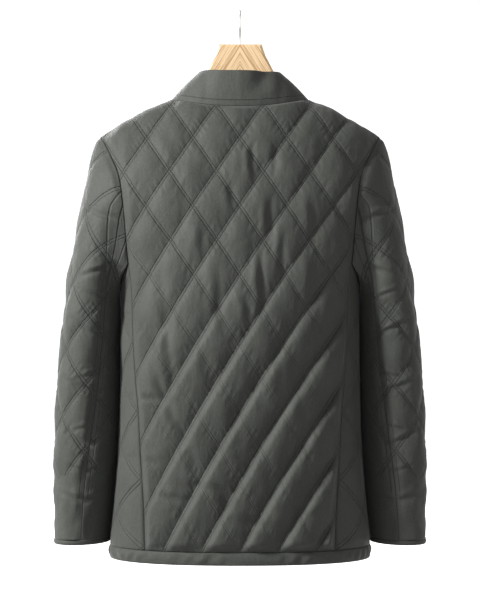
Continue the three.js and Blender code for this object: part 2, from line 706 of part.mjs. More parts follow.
// Zip: a half lies beside the centre front line from the hem to the collar's top.
const ZIP_HALF_WALL = 1.2;
const ZIP_ROWS = 24;
const COLLAR_FRONT = collarTop(1);
function zipY(z) {
  const neck = torsoAt(FRONT_EDGE_X, FRONT_NECK_Z, -1);
  if (z < FRONT_NECK_Z) return torsoAt(FRONT_EDGE_X, z, -1).y;
  return lerp(neck.y, COLLAR_FRONT.y, (z - FRONT_NECK_Z) / (COLLAR_FRONT.z - FRONT_NECK_Z));
}
function zipHalf() {
  const form = (x, z) => new THREE.Vector3(x, zipY(z), z);
  const place = (i, j) => [
    i ? FRONT_EDGE_X - SEAM : SEAM / 2,
    lerp(HEM_Z, COLLAR_FRONT.z, j / ZIP_ROWS),
  ];
  return wall({
    columns: 1,
    rows: ZIP_ROWS,
    place,
    outer: (x, z) => lifted(form, x, z, ZIP_HALF_WALL, 1),
    inner: (x, z) => lifted(form, x, z, -ZIP_HALF_WALL, 1),
  });
}

// Zip slider and its pull, drawn upright at the pull's pin and leaned back like the collar.
const SLIDER_Z = -184;
const SLIDER = { width: 8.6, depth: 2.4, height: 11 };
const EAR = { gap: 2.5, thick: 1.2, height: 4.6 };
const PIN_RADIUS = 0.7;
const EYE = { radius: 2, hole: 1, width: 4.4 };
const PULL = { length: 26, thick: 1.2 };
const SLIDER_BACK = ZIP_HALF_WALL + SEAM;
const PIN_OUT = SLIDER_BACK + SLIDER.depth + SEAM + EYE.radius;
const COLLAR_LEAN = Math.atan2(COLLAR_FRONT.y - zipY(FRONT_NECK_Z), COLLAR_FRONT.z - FRONT_NECK_Z);
function atSlider(mesh) {
  mesh.rotation.x = -COLLAR_LEAN;
  const out = new THREE.Vector3(0, -PIN_OUT, 0).applyEuler(mesh.rotation);
  mesh.position.set(0, zipY(SLIDER_Z), SLIDER_Z).add(out);
}
function block(width, depth, height, x, y, z) {
  return new THREE.BoxGeometry(width, depth, height).translate(x, y, z);
}
function zipSlider() {
  const front = PIN_OUT - SLIDER_BACK - SLIDER.depth;
  const body = block(SLIDER.width, SLIDER.depth, SLIDER.height, 0, front + SLIDER.depth / 2, 0);
  const earDepth = front + 1 + PIN_RADIUS * 2;
  const earX = EAR.gap + EAR.thick / 2;
  const ears = [-earX, earX].map((x) =>
    block(EAR.thick, earDepth, EAR.height, x, front + 1 - earDepth / 2, 0),
  );
  const pin = new THREE.CylinderGeometry(PIN_RADIUS, PIN_RADIUS, 2 * earX, 16).rotateZ(Math.PI / 2);
  return joined([body, ...ears, pin]);
}
function zipPull() {
  const outline = new THREE.Shape();
  outline.absarc(0, 0, EYE.radius, 0, Math.PI * 1.5, false);
  outline.lineTo(EYE.radius - PULL.thick, -EYE.radius - 2);
  outline.lineTo(EYE.radius - PULL.thick, -PULL.length);
  outline.lineTo(EYE.radius, -PULL.length);
  const hole = new THREE.Path();
  hole.absarc(0, 0, EYE.hole, 0, 2 * Math.PI, true);
  outline.holes.push(hole);
  const plate = new THREE.ExtrudeGeometry(outline, {
    depth: EYE.width,
    bevelEnabled: false,
    curveSegments: 16,
  });
  return plate.translate(0, 0, -EYE.width / 2).applyMatrix4(PROFILE_TO_YZ);
}
const PROFILE_TO_YZ = new THREE.Matrix4().set(0, 0, 1, 0, 1, 0, 0, 0, 0, 1, 0, 0, 0, 0, 0, 1);

// Joins or cuts closed geometries.
const wasm = await Module();
wasm.setup();
function solidOf(geometry) {
  const bare = geometry.clone();
  bare.deleteAttribute("normal");
  bare.deleteAttribute("uv");
  const merged = mergeVertices(bare, 1e-4);
  return new wasm.Manifold(
    new wasm.Mesh({
      numProp: 3,
      vertProperties: merged.attributes.position.array,
      triVerts: new Uint32Array(merged.index.array),
    }),
  );
}
function geometryOf(solid) {
  const mesh = solid.getMesh();
  const geometry = new THREE.BufferGeometry();
  geometry.setAttribute("position", new THREE.Float32BufferAttribute(mesh.vertProperties, 3));
  geometry.setIndex(new THREE.BufferAttribute(mesh.triVerts, 1));
  geometry.computeVertexNormals();
  return geometry;
}
function joined(geometries) {
  const [first, ...rest] = geometries.map(solidOf);
  return geometryOf(rest.reduce((solid, next) => solid.add(next), first));
}

// Wooden hanger: a flat arched bar that follows the shoulders inside the cloth.
const HANGER_TOP_Z = -51.6;
const HANGER_UNDER_CLOTH = 3.2;
const HANGER_ARM_END = 203;
const HANGER = { flat: 8, bevel: 4 };
const HOOK_HOLE = { radius: 1.8, depth: 16 };
function hanger() {
  const armTop = (x) => ridgeZ(x) - HANGER_UNDER_CLOTH;
  const rightHalf = [
    [34, HANGER_TOP_Z],
    [40, -69],
    [56, -100],
    [78, -124],
    [97, -142],
    [113, armTop(113)],
    [135, armTop(135)],
    [158, armTop(158)],
    [181, armTop(181)],
    [198, armTop(198)],
    [HANGER_ARM_END, armTop(HANGER_ARM_END) - 5],
    [HANGER_ARM_END, armTop(HANGER_ARM_END) - 18],
    [196, armTop(196) - 24],
    [150, armTop(150) - 28],
    [104, -172],
    [60, -158],
    [24, -151],
  ];
  const leftHalf = rightHalf.map(([x, z]) => [-x, z]).reverse();
  const outline = new THREE.Shape([...rightHalf, ...leftHalf].map(([x, z]) => new THREE.Vector2(x, z)));
  const bar = new THREE.ExtrudeGeometry(outline, {
    depth: HANGER.flat,
    bevelThickness: HANGER.bevel,
    bevelSize: HANGER.bevel,
    bevelOffset: -HANGER.bevel,
    bevelSegments: 2,
  });
  bar.translate(0, 0, -HANGER.flat / 2).rotateX(Math.PI / 2);
  const hole = new THREE.CylinderGeometry(HOOK_HOLE.radius, HOOK_HOLE.radius, 2 * HOOK_HOLE.depth, 16);
  hole.rotateX(Math.PI / 2).translate(0, 0, HANGER_TOP_Z);
  return geometryOf(solidOf(bar).subtract(solidOf(hole)));
}

// Steel hook: a straight shank that bends back, then round over the rail.
const HOOK_WIRE = 1.5;
const HOOK_INNER = 16;
function hangerHook() {
  const round = HOOK_INNER + HOOK_WIRE;
  const points = [-65, -58, -51, -44].map((z) => new THREE.Vector3(0, 0, z));
  for (let angle = -58; angle <= 204; angle += 20) {
    const turned = degToRad(angle);
    points.push(new THREE.Vector3(0, round * Math.cos(turned), round * Math.sin(turned) - HOOK_INNER));
  }
  const wire = new THREE.Shape();
  wire.absarc(0, 0, HOOK_WIRE, 0, 2 * Math.PI, false);
  return new THREE.ExtrudeGeometry(wire, {
    steps: 44,
    curveSegments: 5,
    extrudePath: new THREE.CatmullRomCurve3(points),
  });
}

const root = new THREE.Group();
function add(name, geometry, material) {
  const mesh = new THREE.Mesh(geometry, material);
  mesh.name = name;
  root.add(mesh);
  return mesh;
}
function addPair(name, geometry, material) {
  add(name + "_left", geometry, material);
  add(name + "_right", mirrored(geometry), material);
}

add("back_panel", bodyPanel(1, -19, 19, 1), CLOTH);
addPair("front", bodyPanel(-1, 0, 19, 0.5), CLOTH);
addPair("side_panel", sidePanel(), CLOTH);
addPair("sleeve_top", sleevePiece(-12, 2, frontSeamAngle, backSeamAngle), CLOTH);
addPair("sleeve_under", sleevePiece(0, 10, backSeamAngle, frontSeamFromBelow), CLOTH);
addPair("cuff_edge", cuffEdge(), CLOTH);
add("collar", collar(), CLOTH);
add("hem_band", hemBand(), CLOTH);
addPair("zip", zipHalf(), TAPE);
atSlider(add("zip_slider", zipSlider(), ZIP_METAL));
atSlider(add("zip_pull", zipPull(), ZIP_METAL));
add("hanger", hanger(), WOOD);
add("hanger_hook", hangerHook(), STEEL);

export default root;
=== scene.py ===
import math

import bmesh
import bpy
import numpy as np
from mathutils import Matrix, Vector


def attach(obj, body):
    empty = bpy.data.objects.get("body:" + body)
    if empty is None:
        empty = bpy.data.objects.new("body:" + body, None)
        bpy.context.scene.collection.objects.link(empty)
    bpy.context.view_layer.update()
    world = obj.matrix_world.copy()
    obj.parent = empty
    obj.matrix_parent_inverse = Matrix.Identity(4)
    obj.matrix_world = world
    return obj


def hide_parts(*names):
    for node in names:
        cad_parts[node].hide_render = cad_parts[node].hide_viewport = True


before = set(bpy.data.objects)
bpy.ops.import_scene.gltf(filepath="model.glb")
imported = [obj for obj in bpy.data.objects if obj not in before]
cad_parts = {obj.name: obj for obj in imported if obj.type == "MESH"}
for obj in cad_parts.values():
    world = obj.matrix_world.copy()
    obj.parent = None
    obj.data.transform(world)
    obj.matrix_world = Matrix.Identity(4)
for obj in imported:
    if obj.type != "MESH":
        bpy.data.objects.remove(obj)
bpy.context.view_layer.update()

MM = 0.001
WALL = 2.0
COLLAR_WALL = 3.0
HEM_WALL = 4.0
SEAM = 0.06
SLEEVE_SEAM = 0.06
ARMHOLE_SEAM = 0.15
ARMPIT_SEAM = 1.2
COLLAR_SEAM = 0.06
SHOULDER_HALF_SEAM = 0.04
NECK_HALF = 108.0
NECK_POINT_Z = -139.0
BACK_NECK_Z = -154.4
FRONT_NECK_Z = -225.0
SHOULDER_HALF = 219.0
SHOULDER_POINT_Z = -197.0
SHOULDER_SLOPE = 0.42
SHOULDER_BEND = 0.00093
NECK_CROWN = 20.0
SHOULDER_ROUND = 150.0
ARMPIT_Z = -432.0
SIDE_PANEL_TOP_Z = -400.0
BODY_END_Z = -838.7
HEM_TOP_Z = -839.0
HEM_Z = -858.5
CUFF_SEAM_Z = -829.0
CUFF_Z = -837.0
FRONT_EDGE_X = 6.0
PITCH_Z = 105.0
PITCH_X_TOP = 71.6
PITCH_X_HEM = 57.0
PITCH_NARROWS_FROM_Z = -305.0
LATTICE_Z = -206.0
QUILT_RISE = 7.0
FOLD_RISE = 12.0
SLEEVE_RISE = 4.5
ROUNDNESS = 2.3


def smooth_table(columns, rows):
    """Smooth curve through each named column of a table, with no overshoot between its rows."""
    table = np.array(sorted(rows), dtype=float)
    keys = table[:, 0]
    widths = np.diff(keys)

    def curve(values):
        steps = np.diff(values) / widths
        slopes = np.zeros(len(keys))
        slopes[0] = steps[0]
        slopes[-1] = steps[-1]
        before, after = steps[:-1], steps[1:]
        same = before * after > 0
        total = np.where(same, before + after, 1.0)
        slopes[1:-1] = np.where(same, 2 * before * after / total, 0.0)

        def at(value):
            value = np.clip(value, keys[0], keys[-1])
            i = np.clip(np.searchsorted(keys, value, side="left") - 1, 0, len(widths) - 1)
            width = widths[i]
            t = (value - keys[i]) / width
            low, high = values[i], values[i + 1]
            bend = slopes[i] * t * (1 - t) ** 2 - slopes[i + 1] * t * t * (1 - t)
            return low * (1 + 2 * t) * (1 - t) ** 2 + high * t * t * (3 - 2 * t) + width * bend

        return at

    return {name: curve(table[:, k + 1]) for k, name in enumerate(columns)}


torso_section = smooth_table(("half", "back", "front"), [
    (-860, 204, 112, 112),
    (-838, 204, 112, 112),
    (-785, 199.3, 112, 113),
    (-725, 194, 112, 113),
    (-692, 191.5, 112, 114),
    (-600, 188.5, 112, 115),
    (-530, 187.8, 114, 116),
    (-475, 187.4, 115.5, 115),
    (-432, 188, 116, 114),
    (-400, 194, 115, 112),
    (-370, 206, 112, 108),
    (-320, 222, 109, 103),
    (-280, 245, 102, 96),
    (-240, 258, 95, 88),
    (-197, 268, 92, 85),
    (-90, 270, 92, 85),
])
panel_edge = smooth_table(("x",), [
    (-860, 144),
    (-838, 145),
    (-769, 147.6),
    (-701, 152),
    (-619, 157),
    (-572, 161.5),
    (-516, 165),
    (-444, 167.5),
    (-400, 172),
    (-367, 175),
    (-316, 179),
    (-278, 183.5),
    (-254, 189.5),
    (-238, 197),
    (-221, 205.5),
    (-209, 212),
    (SHOULDER_POINT_Z, SHOULDER_HALF),
    (-90, SHOULDER_HALF),
])["x"]
sleeve_ring = smooth_table(("outX", "inZ", "inX", "half", "mid", "twist"), [
    (-197, 219, -432, 188.8, 68, 2, 0),
    (-214, 227.5, -438, 189.2, 69, 1, 1),
    (-240, 235.5, -445, 189.3, 69, 0, 2),
    (-275, 243, -453, 189.3, 69, -1, 3),
    (-320, 251, -463, 189.3, 69, -2, 5),
    (-370, 260.5, -476, 189.3, 69, -3, 7),
    (-425, 269, -495, 189.4, 67, -4, 9),
    (-485, 276.5, -522, 189.5, 64, -5, 11),
    (-545, 283, -562, 189.8, 61, -6, 12),
    (-605, 287, -612, 190.4, 58, -6, 12),
    (-665, 290, -667, 192.6, 55, -6, 12),
    (-725, 292, -725, 196.2, 52, -6, 12),
    (-785, 293, -785, 201.4, 49, -6, 12),
    (-829, 292.5, -829, 206.4, 47, -6, 12),
    (-840, 292.3, -840, 207, 47, -6, 12),
])
SLEEVE_BLEND = 150.0
FRONT_SLEEVE_SEAM = -110.0
back_sleeve_seam = smooth_table(("angle",), [
    # z, degrees
    (-310, 88),
    (-422, 118),
    (-475, 119),
    (-557, 114),
    (-666, 102),
    (-785, 93),
    (-829, 93),
])["angle"]
collar_top = smooth_table(("x", "y", "z"), [
    (0, 0, 54, -98.5),
    (0.15, 28, 50, -98),
    (0.3, 52, 34, -96),
    (0.42, 64, 12, -96.5),
    (0.5, 66.5, -6, -101),
    (0.6, 64, -28, -115),
    (0.75, 50, -53, -140),
    (0.9, 24, -70, -160),
    (1, 6.5, -74.5, -168),
])
COLLAR_BOTTOM_SWEEP = 0.981 * math.pi


def lerp(a, b, t):
    return a + (b - a) * t


def smoothstep(value, low, high):
    t = np.clip((value - low) / (high - low), 0, 1)
    return t * t * (3 - 2 * t)


def ridge_z(x):
    out = np.abs(x) - NECK_HALF
    over_neck = NECK_POINT_Z + NECK_CROWN * (1 - (x / NECK_HALF) ** 2)
    return np.where(out < 0, over_neck, NECK_POINT_Z - SHOULDER_SLOPE * out - SHOULDER_BEND * out * out)


ROLL_LENGTH = SHOULDER_ROUND * math.pi / 2


def drop_of(length):
    down = np.abs(length)
    rolled = SHOULDER_ROUND * (1 - np.cos(np.minimum(down, ROLL_LENGTH) / SHOULDER_ROUND))
    return np.where(down > ROLL_LENGTH, SHOULDER_ROUND + down - ROLL_LENGTH, rolled)


def length_of(drop):
    rolled = SHOULDER_ROUND * np.arccos(1 - np.clip(drop, 0, SHOULDER_ROUND) / SHOULDER_ROUND)
    return np.where(drop > SHOULDER_ROUND, ROLL_LENGTH + drop - SHOULDER_ROUND, rolled)


def points(x, y, z):
    return np.stack(np.broadcast_arrays(x, y, z), axis=-1).astype(float)


def torso_point(x, length, side):
    z = ridge_z(x) - drop_of(length)
    depth = torso_section["back" if side > 0 else "front"](z)
    inside = np.maximum(0, 1 - (np.abs(x) / torso_section["half"](z)) ** ROUNDNESS)
    roll = np.sin(np.clip(length / SHOULDER_ROUND, -math.pi / 2, math.pi / 2))
    return points(x, side * depth * inside ** (1 / ROUNDNESS) * roll, z)


def torso_at(x, z, side):
    return torso_point(x, length_of(ridge_z(x) - z), side)


def neck_z(x, side):
    out = np.minimum(np.abs(x) / NECK_HALF, 1)
    if side > 0:
        return BACK_NECK_Z + (NECK_POINT_Z - BACK_NECK_Z) * out ** 2.2
    return FRONT_NECK_Z + (NECK_POINT_Z - FRONT_NECK_Z) * out ** 2.4


def side_point(across, z):
    edge_x = panel_edge(z) + SEAM
    back = across >= 0
    edge = np.where(back, torso_at(edge_x, z, 1)[..., 1], torso_at(edge_x, z, -1)[..., 1])
    depth = np.where(back, torso_section["back"](z), torso_section["front"](z))
    y = np.abs(across) * edge
    x = torso_section["half"](z) * (1 - (np.abs(y) / depth) ** ROUNDNESS) ** (1 / ROUNDNESS)
    return points(x, y, z)


def side_panel_top(across):
    return ARMPIT_Z + (SIDE_PANEL_TOP_Z - ARMPIT_Z) * across ** 2


def armhole_point(angle):
    z = lerp(SHOULDER_POINT_Z, ARMPIT_Z, (1 - np.cos(angle)) / 2)
    back = np.sin(angle) >= 0
    on_body = np.where(back[..., None], torso_at(panel_edge(z), z, 1), torso_at(panel_edge(z), z, -1))
    across = np.sqrt(np.maximum(0, z - ARMPIT_Z) / (SIDE_PANEL_TOP_Z - ARMPIT_Z))
    on_side = side_point(np.where(back, across, -across).clip(-1, 1), np.minimum(z, SIDE_PANEL_TOP_Z))
    return np.where((z > SIDE_PANEL_TOP_Z)[..., None], on_body, on_side)


def ring_centre(out_z):
    ring = sleeve_ring
    x = (ring["outX"](out_z) + ring["inX"](out_z)) / 2
    return points(x, ring["mid"](out_z), (out_z + ring["inZ"](out_z)) / 2)


def plain_ring_point(out_z, angle):
    ring = sleeve_ring
    centre = ring_centre(out_z)
    x = centre[..., 0] + np.cos(angle) * (ring["outX"](out_z) - ring["inX"](out_z)) / 2
    y = ring["mid"](out_z) + ring["twist"](out_z) * np.cos(angle) + ring["half"](out_z) * np.sin(angle)
    z = centre[..., 2] + np.cos(angle) * (out_z - ring["inZ"](out_z)) / 2
    return points(x, y, z)


def sleeve_point(angle, out_z):
    left = np.clip(1 - (SHOULDER_POINT_Z - out_z) / SLEEVE_BLEND, 0, 1) ** 2
    first = np.full_like(angle, SHOULDER_POINT_Z)
    armhole = armhole_point(angle) - plain_ring_point(first, angle)
    armhole[..., 0] += lerp(ARMHOLE_SEAM, ARMPIT_SEAM, (1 - np.cos(angle)) ** 2 / 4)
    return plain_ring_point(out_z, angle) + armhole * left[..., None]


def unit(vectors):
    return vectors / np.linalg.norm(vectors, axis=-1, keepdims=True)


def collar_point(way, up):
    sweep = np.abs(way) * COLLAR_BOTTOM_SWEEP
    x = NECK_HALF * np.sin(sweep)
    back = torso_at(x, neck_z(x, 1), 1)
    front = torso_at(x, neck_z(x, -1), -1)
    low = np.where((sweep < math.pi / 2)[..., None], back, front)
    low[..., 2] += COLLAR_SEAM
    far = np.abs(way)
    top = points(collar_top["x"](far), collar_top["y"](far), collar_top["z"](far))
    point = lerp(low, top, up[..., None])
    point[..., 0] *= np.where(way < 0, -1, 1)
    return point


def normals(form, u, v, reach=0.5):
    along_u = form(u + reach, v) - form(u - reach, v)
    along_v = form(u, v + reach) - form(u, v - reach)
    return unit(np.cross(along_u, along_v))


# Quilting
PUFF_CREST = 0.6
FOLD_CREST = 0.78
LINE_GAP = 59.0  # across the cloth, between neighbouring stitched lines
RUMPLE_SIZES = (74, 46, 29, 18)
RUMPLE_LEAN = 0.55  # spread of the waves about the upright, in radians
RUMPLE_WAVES = 4  # of each size


def pitch_x(z):
    down = (PITCH_NARROWS_FROM_Z - z) / (PITCH_NARROWS_FROM_Z - HEM_Z)
    return lerp(PITCH_X_TOP, PITCH_X_HEM, np.clip(down, 0, 1))


def turn(value):
    return value - np.floor(value)


def channel(way):
    """Height across one channel between two stitched lines, steep beside the stitching."""
    return np.abs(np.sin(math.pi * turn(way))) ** 0.6


def diamond_rise(across, up, cross_share=0.62):
    """Puff between two pairs of lines, deeper along the lines that lean one way than along the others."""
    way = turn(across + up)
    leaning = np.where(way < PUFF_CREST, way / PUFF_CREST, 1 + (way - PUFF_CREST) / (1 - PUFF_CREST)) / 2
    return channel(leaning) * (1 - cross_share + cross_share * channel(up - across))


def fold_rise(across, up):
    """Long slanting folds, each with a slow side and a steep side."""
    way = turn(across + up)
    climb = np.where(way < FOLD_CREST, way / FOLD_CREST, (1 - way) / (1 - FOLD_CREST))
    return np.sin(climb * math.pi / 2) ** 0.9 * (0.9 + 0.1 * channel(up - across))


def gathers(across, up):
    """Small gathers across each stitched line, and none between the lines."""
    total = 0
    for way, along in ((across + up, up - across), (up - across, across + up)):
        off = np.abs(way - np.round(way)) * LINE_GAP
        beat = np.sin(along * LINE_GAP * 0.72 + 1.7 * np.sin(along * 9 + way))
        beat = beat * np.sin(along * 5.3 + 2.2 * way)
        total = total + beat * np.exp(-((off - 6) / 6) ** 2)
    return total


def rumple(x, z, seed):
    """Soft uneven swell of worked cloth: waves of several sizes, most of them upright."""
    draw = np.random.default_rng(seed)
    total = np.zeros_like(x)
    for size in RUMPLE_SIZES:
        for _ in range(RUMPLE_WAVES):
            way = draw.normal(0, RUMPLE_LEAN)
            phase = draw.uniform(0, math.tau)
            reach = size * draw.uniform(0.8, 1.25)
            patch = np.sin(x / (1.7 * size) + phase * 3) * np.sin(z / (1.4 * size) + phase * 5)
            turned = x * math.cos(way) + z * math.sin(way)
            total += size / RUMPLE_SIZES[0] * patch * np.sin(turned * math.tau / reach + phase)
    return total


def grid(u, v):
    return np.meshgrid(u, v)


def cloth_mesh(name, outer, inner, closed=False, layers=None):
    """Closed wall between two grids of points, given in rows; closed joins a row's ends."""
    rows, columns = outer.shape[:2]
    count = rows * columns
    index = np.arange(count).reshape(rows, columns)
    if closed:
        index = np.concatenate([index, index[:, :1]], axis=1)
    a, b = index[:-1, :-1].ravel(), index[:-1, 1:].ravel()
    c, d = index[1:, 1:].ravel(), index[1:, :-1].ravel()
    faces = [np.stack([a, b, c, d], 1), np.stack([d, c, b, a], 1) + count]

    def rim(loop):
        faces.append(np.stack([loop[1:], loop[:-1], loop[:-1] + count, loop[1:] + count], 1))

    rim(index[0])
    rim(index[-1][::-1])
    if not closed:
        rim(index[::-1, 0])
        rim(index[:, -1])
    quads = np.concatenate(faces)
    vertices = np.concatenate([outer.reshape(-1, 3), inner.reshape(-1, 3)]) * MM
    mesh = bpy.data.meshes.new(name)
    mesh.vertices.add(len(vertices))
    mesh.vertices.foreach_set("co", vertices.ravel())
    mesh.loops.add(quads.size)
    mesh.loops.foreach_set("vertex_index", quads.ravel().astype(np.int32))
    mesh.polygons.add(len(quads))
    mesh.polygons.foreach_set("loop_start", np.arange(0, quads.size, 4, dtype=np.int32))
    mesh.update(calc_edges=True)
    for layer, values in (layers or {}).items():
        stored = mesh.attributes.new(layer, "FLOAT", "POINT")
        flat = np.broadcast_to(values, (rows, columns)).ravel()
        stored.data.foreach_set("value", np.concatenate([flat, flat]).astype(np.float32))
    made = bmesh.new()
    made.from_mesh(mesh)
    bmesh.ops.recalc_face_normals(made, faces=made.faces)
    if made.calc_volume(signed=True) < 0:
        bmesh.ops.reverse_faces(made, faces=made.faces)
    made.to_mesh(mesh)
    made.free()
    mesh.shade_smooth()
    thing = bpy.data.objects.new(name, mesh)
    bpy.context.scene.collection.objects.link(thing)
    return thing


def flip_left_right(mesh):
    place = np.empty(len(mesh.vertices) * 3)
    mesh.vertices.foreach_get("co", place)
    mesh.vertices.foreach_set("co", (place.reshape(-1, 3) * (-1, 1, 1)).ravel())
    mesh.flip_normals()
    mesh.update()


def mirrored(thing, name):
    mesh = thing.data.copy()
    mesh.name = name
    flip_left_right(mesh)
    copy = bpy.data.objects.new(name, mesh)
    bpy.context.scene.collection.objects.link(copy)
    return copy


def flat_area(points_grid):
    """Area in square metres of the smooth sheet that a grid of points spans."""
    across = points_grid[:-1, 1:] - points_grid[:-1, :-1]
    along = points_grid[1:, :-1] - points_grid[:-1, :-1]
    return float(np.linalg.norm(np.cross(across, along), axis=-1).sum()) * MM * MM


# Creases on the back: middle of each, length up and down, width, depth and lean.
BACK_CREASES = [
    # x, z, length, width, depth, lean
    (-20, -245, 34, 5, 2.2, 0.05),
    (-54, -243, 32, 5, 2.0, -0.06),
    (12, -288, 38, 6, 1.6, 0.1),
    (-46, -332, 40, 6, 3.0, 0.04),
    (-111, -330, 38, 6, 3.0, 0.03),
    (56, -366, 32, 6, 2.0, 0.1),
    (-65, -382, 48, 6, 2.6, -0.05),
    (-156, -375, 26, 6, 2.0, 0.1),
    (-34, -426, 62, 6, 3.4, 0.02),
    (30, -454, 60, 7, 2.4, 0.08),
    (118, -418, 30, 6, 2.2, 0.2),
    (-111, -428, 50, 7, 2.4, -0.04),
    (-11, -468, 26, 6, 2.2, 0.12),
    (106, -530, 84, 7, 3.2, 0.1),
    (118, -588, 34, 6, 2.4, 0.3),
    (100, -625, 40, 7, 2.4, 0.35),
    (-60, -560, 46, 9, 1.6, 0.05),
    (-92, -610, 44, 9, 1.6, 0.08),
    (4, -640, 50, 10, 1.8, 0.15),
    (-40, -700, 56, 10, 1.6, 0.2),
    (48, -560, 40, 8, 1.8, 0.15),
    (72, -690, 60, 9, 2.0, 0.3),
    (20, -760, 44, 9, 1.8, 0.3),
]
FLAT_CREASES = [
    # x, z, length, width, depth, lean along a level line
    (104, -757, 36, 6, 2.2, 0.12),
    (50, -741, 50, 7, 2.0, 0.16),
    (142, -702, 30, 6, 1.8, 0.1),
    (-20, -795, 60, 8, 1.6, 0.2),
    (-98, -780, 44, 8, 1.6, 0.2),
    (138, -606, 26, 5, 2.0, 0.02),
]


def crease_depth(x, z, rows, level=False):
    """Sum of soft troughs: each has a sharp side and a slow side, and fades at its ends."""
    total = np.zeros_like(x)
    for cx, cz, length, width, depth, lean in rows:
        along = (x - cx) if level else (z - cz)
        off = (z - cz - lean * (x - cx)) if level else (x - cx - lean * (z - cz))
        fade = np.clip(1 - (along / length) ** 2, 0, 1) ** 1.5
        wave = 0.8 * np.sin(along / length * 5 + cx)
        side = (off + wave) / width
        total += depth * fade * (np.exp(-side ** 2) - 0.55 * np.exp(-((side - 1.9) ** 2)))
    return total


def body_relief(x, z, fold_share):
    across = x / pitch_x(z)
    up = (z - LATTICE_Z) / PITCH_Z
    low = fold_share * smoothstep(-z, 380, 600)
    quilt = QUILT_RISE * diamond_rise(across, up)
    fold = FOLD_RISE * fold_rise(across, up)
    return lerp(quilt, fold, low) + 0.55 * gathers(across, up)


SHOULDER_RELIEF = 0.2
SHOULDER_FADE = 90.0
SEAM_FADE = 14.0  # the relief grows from nothing over this distance from a seam
BACK_GRID = (200, 215)
FRONT_GRID = (110, 215)


def body_panel(name, side, columns, rows, fold_share, creases):
    """Back, or the left front: rows run from the hem to the shoulder and the neck."""

    def form(a, b):
        return torso_point(a, b, side)

    total = float(length_of(np.array(SHOULDER_POINT_Z - BODY_END_Z)))
    share = np.linspace(1, 0, rows)
    level = SHOULDER_POINT_Z - drop_of(share * total)
    edge = panel_edge(level) - SEAM / 2
    u = np.linspace(-1 if side > 0 else 0, 1, columns)
    across, edge = grid(u, edge)
    level = np.repeat(level[:, None], columns, axis=1)
    start = 0 if side > 0 else FRONT_EDGE_X
    x = start + across * (edge - start)
    top_x = start + u * (SHOULDER_HALF - SEAM / 2 - start)
    top = np.where(np.abs(top_x) >= NECK_HALF, ridge_z(top_x), neck_z(top_x, side))
    lift = 1 - smoothstep(share * total, 30, 420)
    z = level + (top - SHOULDER_POINT_Z)[None, :] * lift[:, None]
    length = np.maximum(length_of(ridge_z(x) - z), SHOULDER_HALF_SEAM)

    z = ridge_z(x) - drop_of(length)
    to_side = panel_edge(z) - np.abs(x)
    to_front = np.full_like(x, 999.0) if side > 0 else x - FRONT_EDGE_X
    from_top = np.where(np.abs(x) >= NECK_HALF, length, length - length_of(ridge_z(x) - neck_z(x, side)))
    room = np.minimum.reduce([to_side, to_front, np.maximum(from_top, 0), z - BODY_END_Z])
    fade = smoothstep(room, 0, SEAM_FADE)
    on_shoulder = lerp(SHOULDER_RELIEF, 1, smoothstep(length, 0, SHOULDER_FADE))
    rise = (body_relief(x, z, fold_share) * on_shoulder + 0.62 * rumple(x, z, 11 + side)) * fade
    for rows_of, level_line in creases:
        rise -= crease_depth(x, z, rows_of, level_line) * fade
    rise = np.maximum(rise, 0)
    base = form(x, length)
    normal = side * normals(form, x, length)
    pitch = pitch_x(z)
    layers = {
        "stitch_a": x / pitch + (z - LATTICE_Z) / PITCH_Z,
        "stitch_b": ((z - LATTICE_Z) / PITCH_Z - x / pitch),
        "room": room,
        "cross": 1 - 0.7 * fold_share * smoothstep(-z, 330, 520),
        "edge": room,
    }
    thing = cloth_mesh(name, base + normal * rise[..., None], base - normal * WALL, layers=layers)
    return thing, flat_area(base)


BESIDE_ARM = 0.85  # swell of body and sleeve towards each other, so that no light shows between them


def beside_arm(below):
    """Swell towards the other piece, which starts small at the armpit."""
    return BESIDE_ARM * (0.45 * smoothstep(below, 0, 6) + 0.55 * smoothstep(below, 6, 70))


SIDE_PANEL_HALF = 65.0
SIDE_PANEL_RISE = 3.2
# Creases beside the side seams: way across, height, length, width, depth and lean
SIDE_CREASES = [
    (52, -606, 20, 5, 2, 0.05),
    (45, -700, 20, 5, 2, 0.05),
    (55, -480, 20, 5, 2, 0.05),
]


def side_panel(name, columns=44, rows=150):
    """Left side panel, between the side seams."""

    def form(u, v):
        return side_point(u / SIDE_PANEL_HALF, v)

    across, share = grid(np.linspace(-1, 1, columns), np.linspace(0, 1, rows))
    z = lerp(BODY_END_Z, side_panel_top(across), share)
    u = across * SIDE_PANEL_HALF
    base = form(u, z)
    normal = normals(form, u, z)
    room = np.minimum.reduce([SIDE_PANEL_HALF - np.abs(u), z - BODY_END_Z, side_panel_top(across) - z])
    away = smoothstep(side_panel_top(across) - z, 10, 90) * smoothstep(np.abs(across), 0.25, 0.6)
    a = across + (z - LATTICE_Z) / PITCH_Z
    b = (z - LATTICE_Z) / PITCH_Z - across
    fade = smoothstep(room, 0, SEAM_FADE)
    rise = SIDE_PANEL_RISE * channel(a) * channel(b) * away * fade
    rise += beside_arm(side_panel_top(across) - z) * smoothstep(np.abs(across), 0.55, 0.1)
    rise += 0.5 * rumple(u, z, 5) * away * fade
    rise -= crease_depth(u, z, SIDE_CREASES, True) * fade * 0.6
    layers = {"stitch_a": a, "stitch_b": b, "room": room, "cross": 1, "edge": room}
    base_out = base + normal * np.maximum(rise, 0)[..., None]
    return cloth_mesh(name, base_out, base - normal * WALL, layers=layers), flat_area(base)


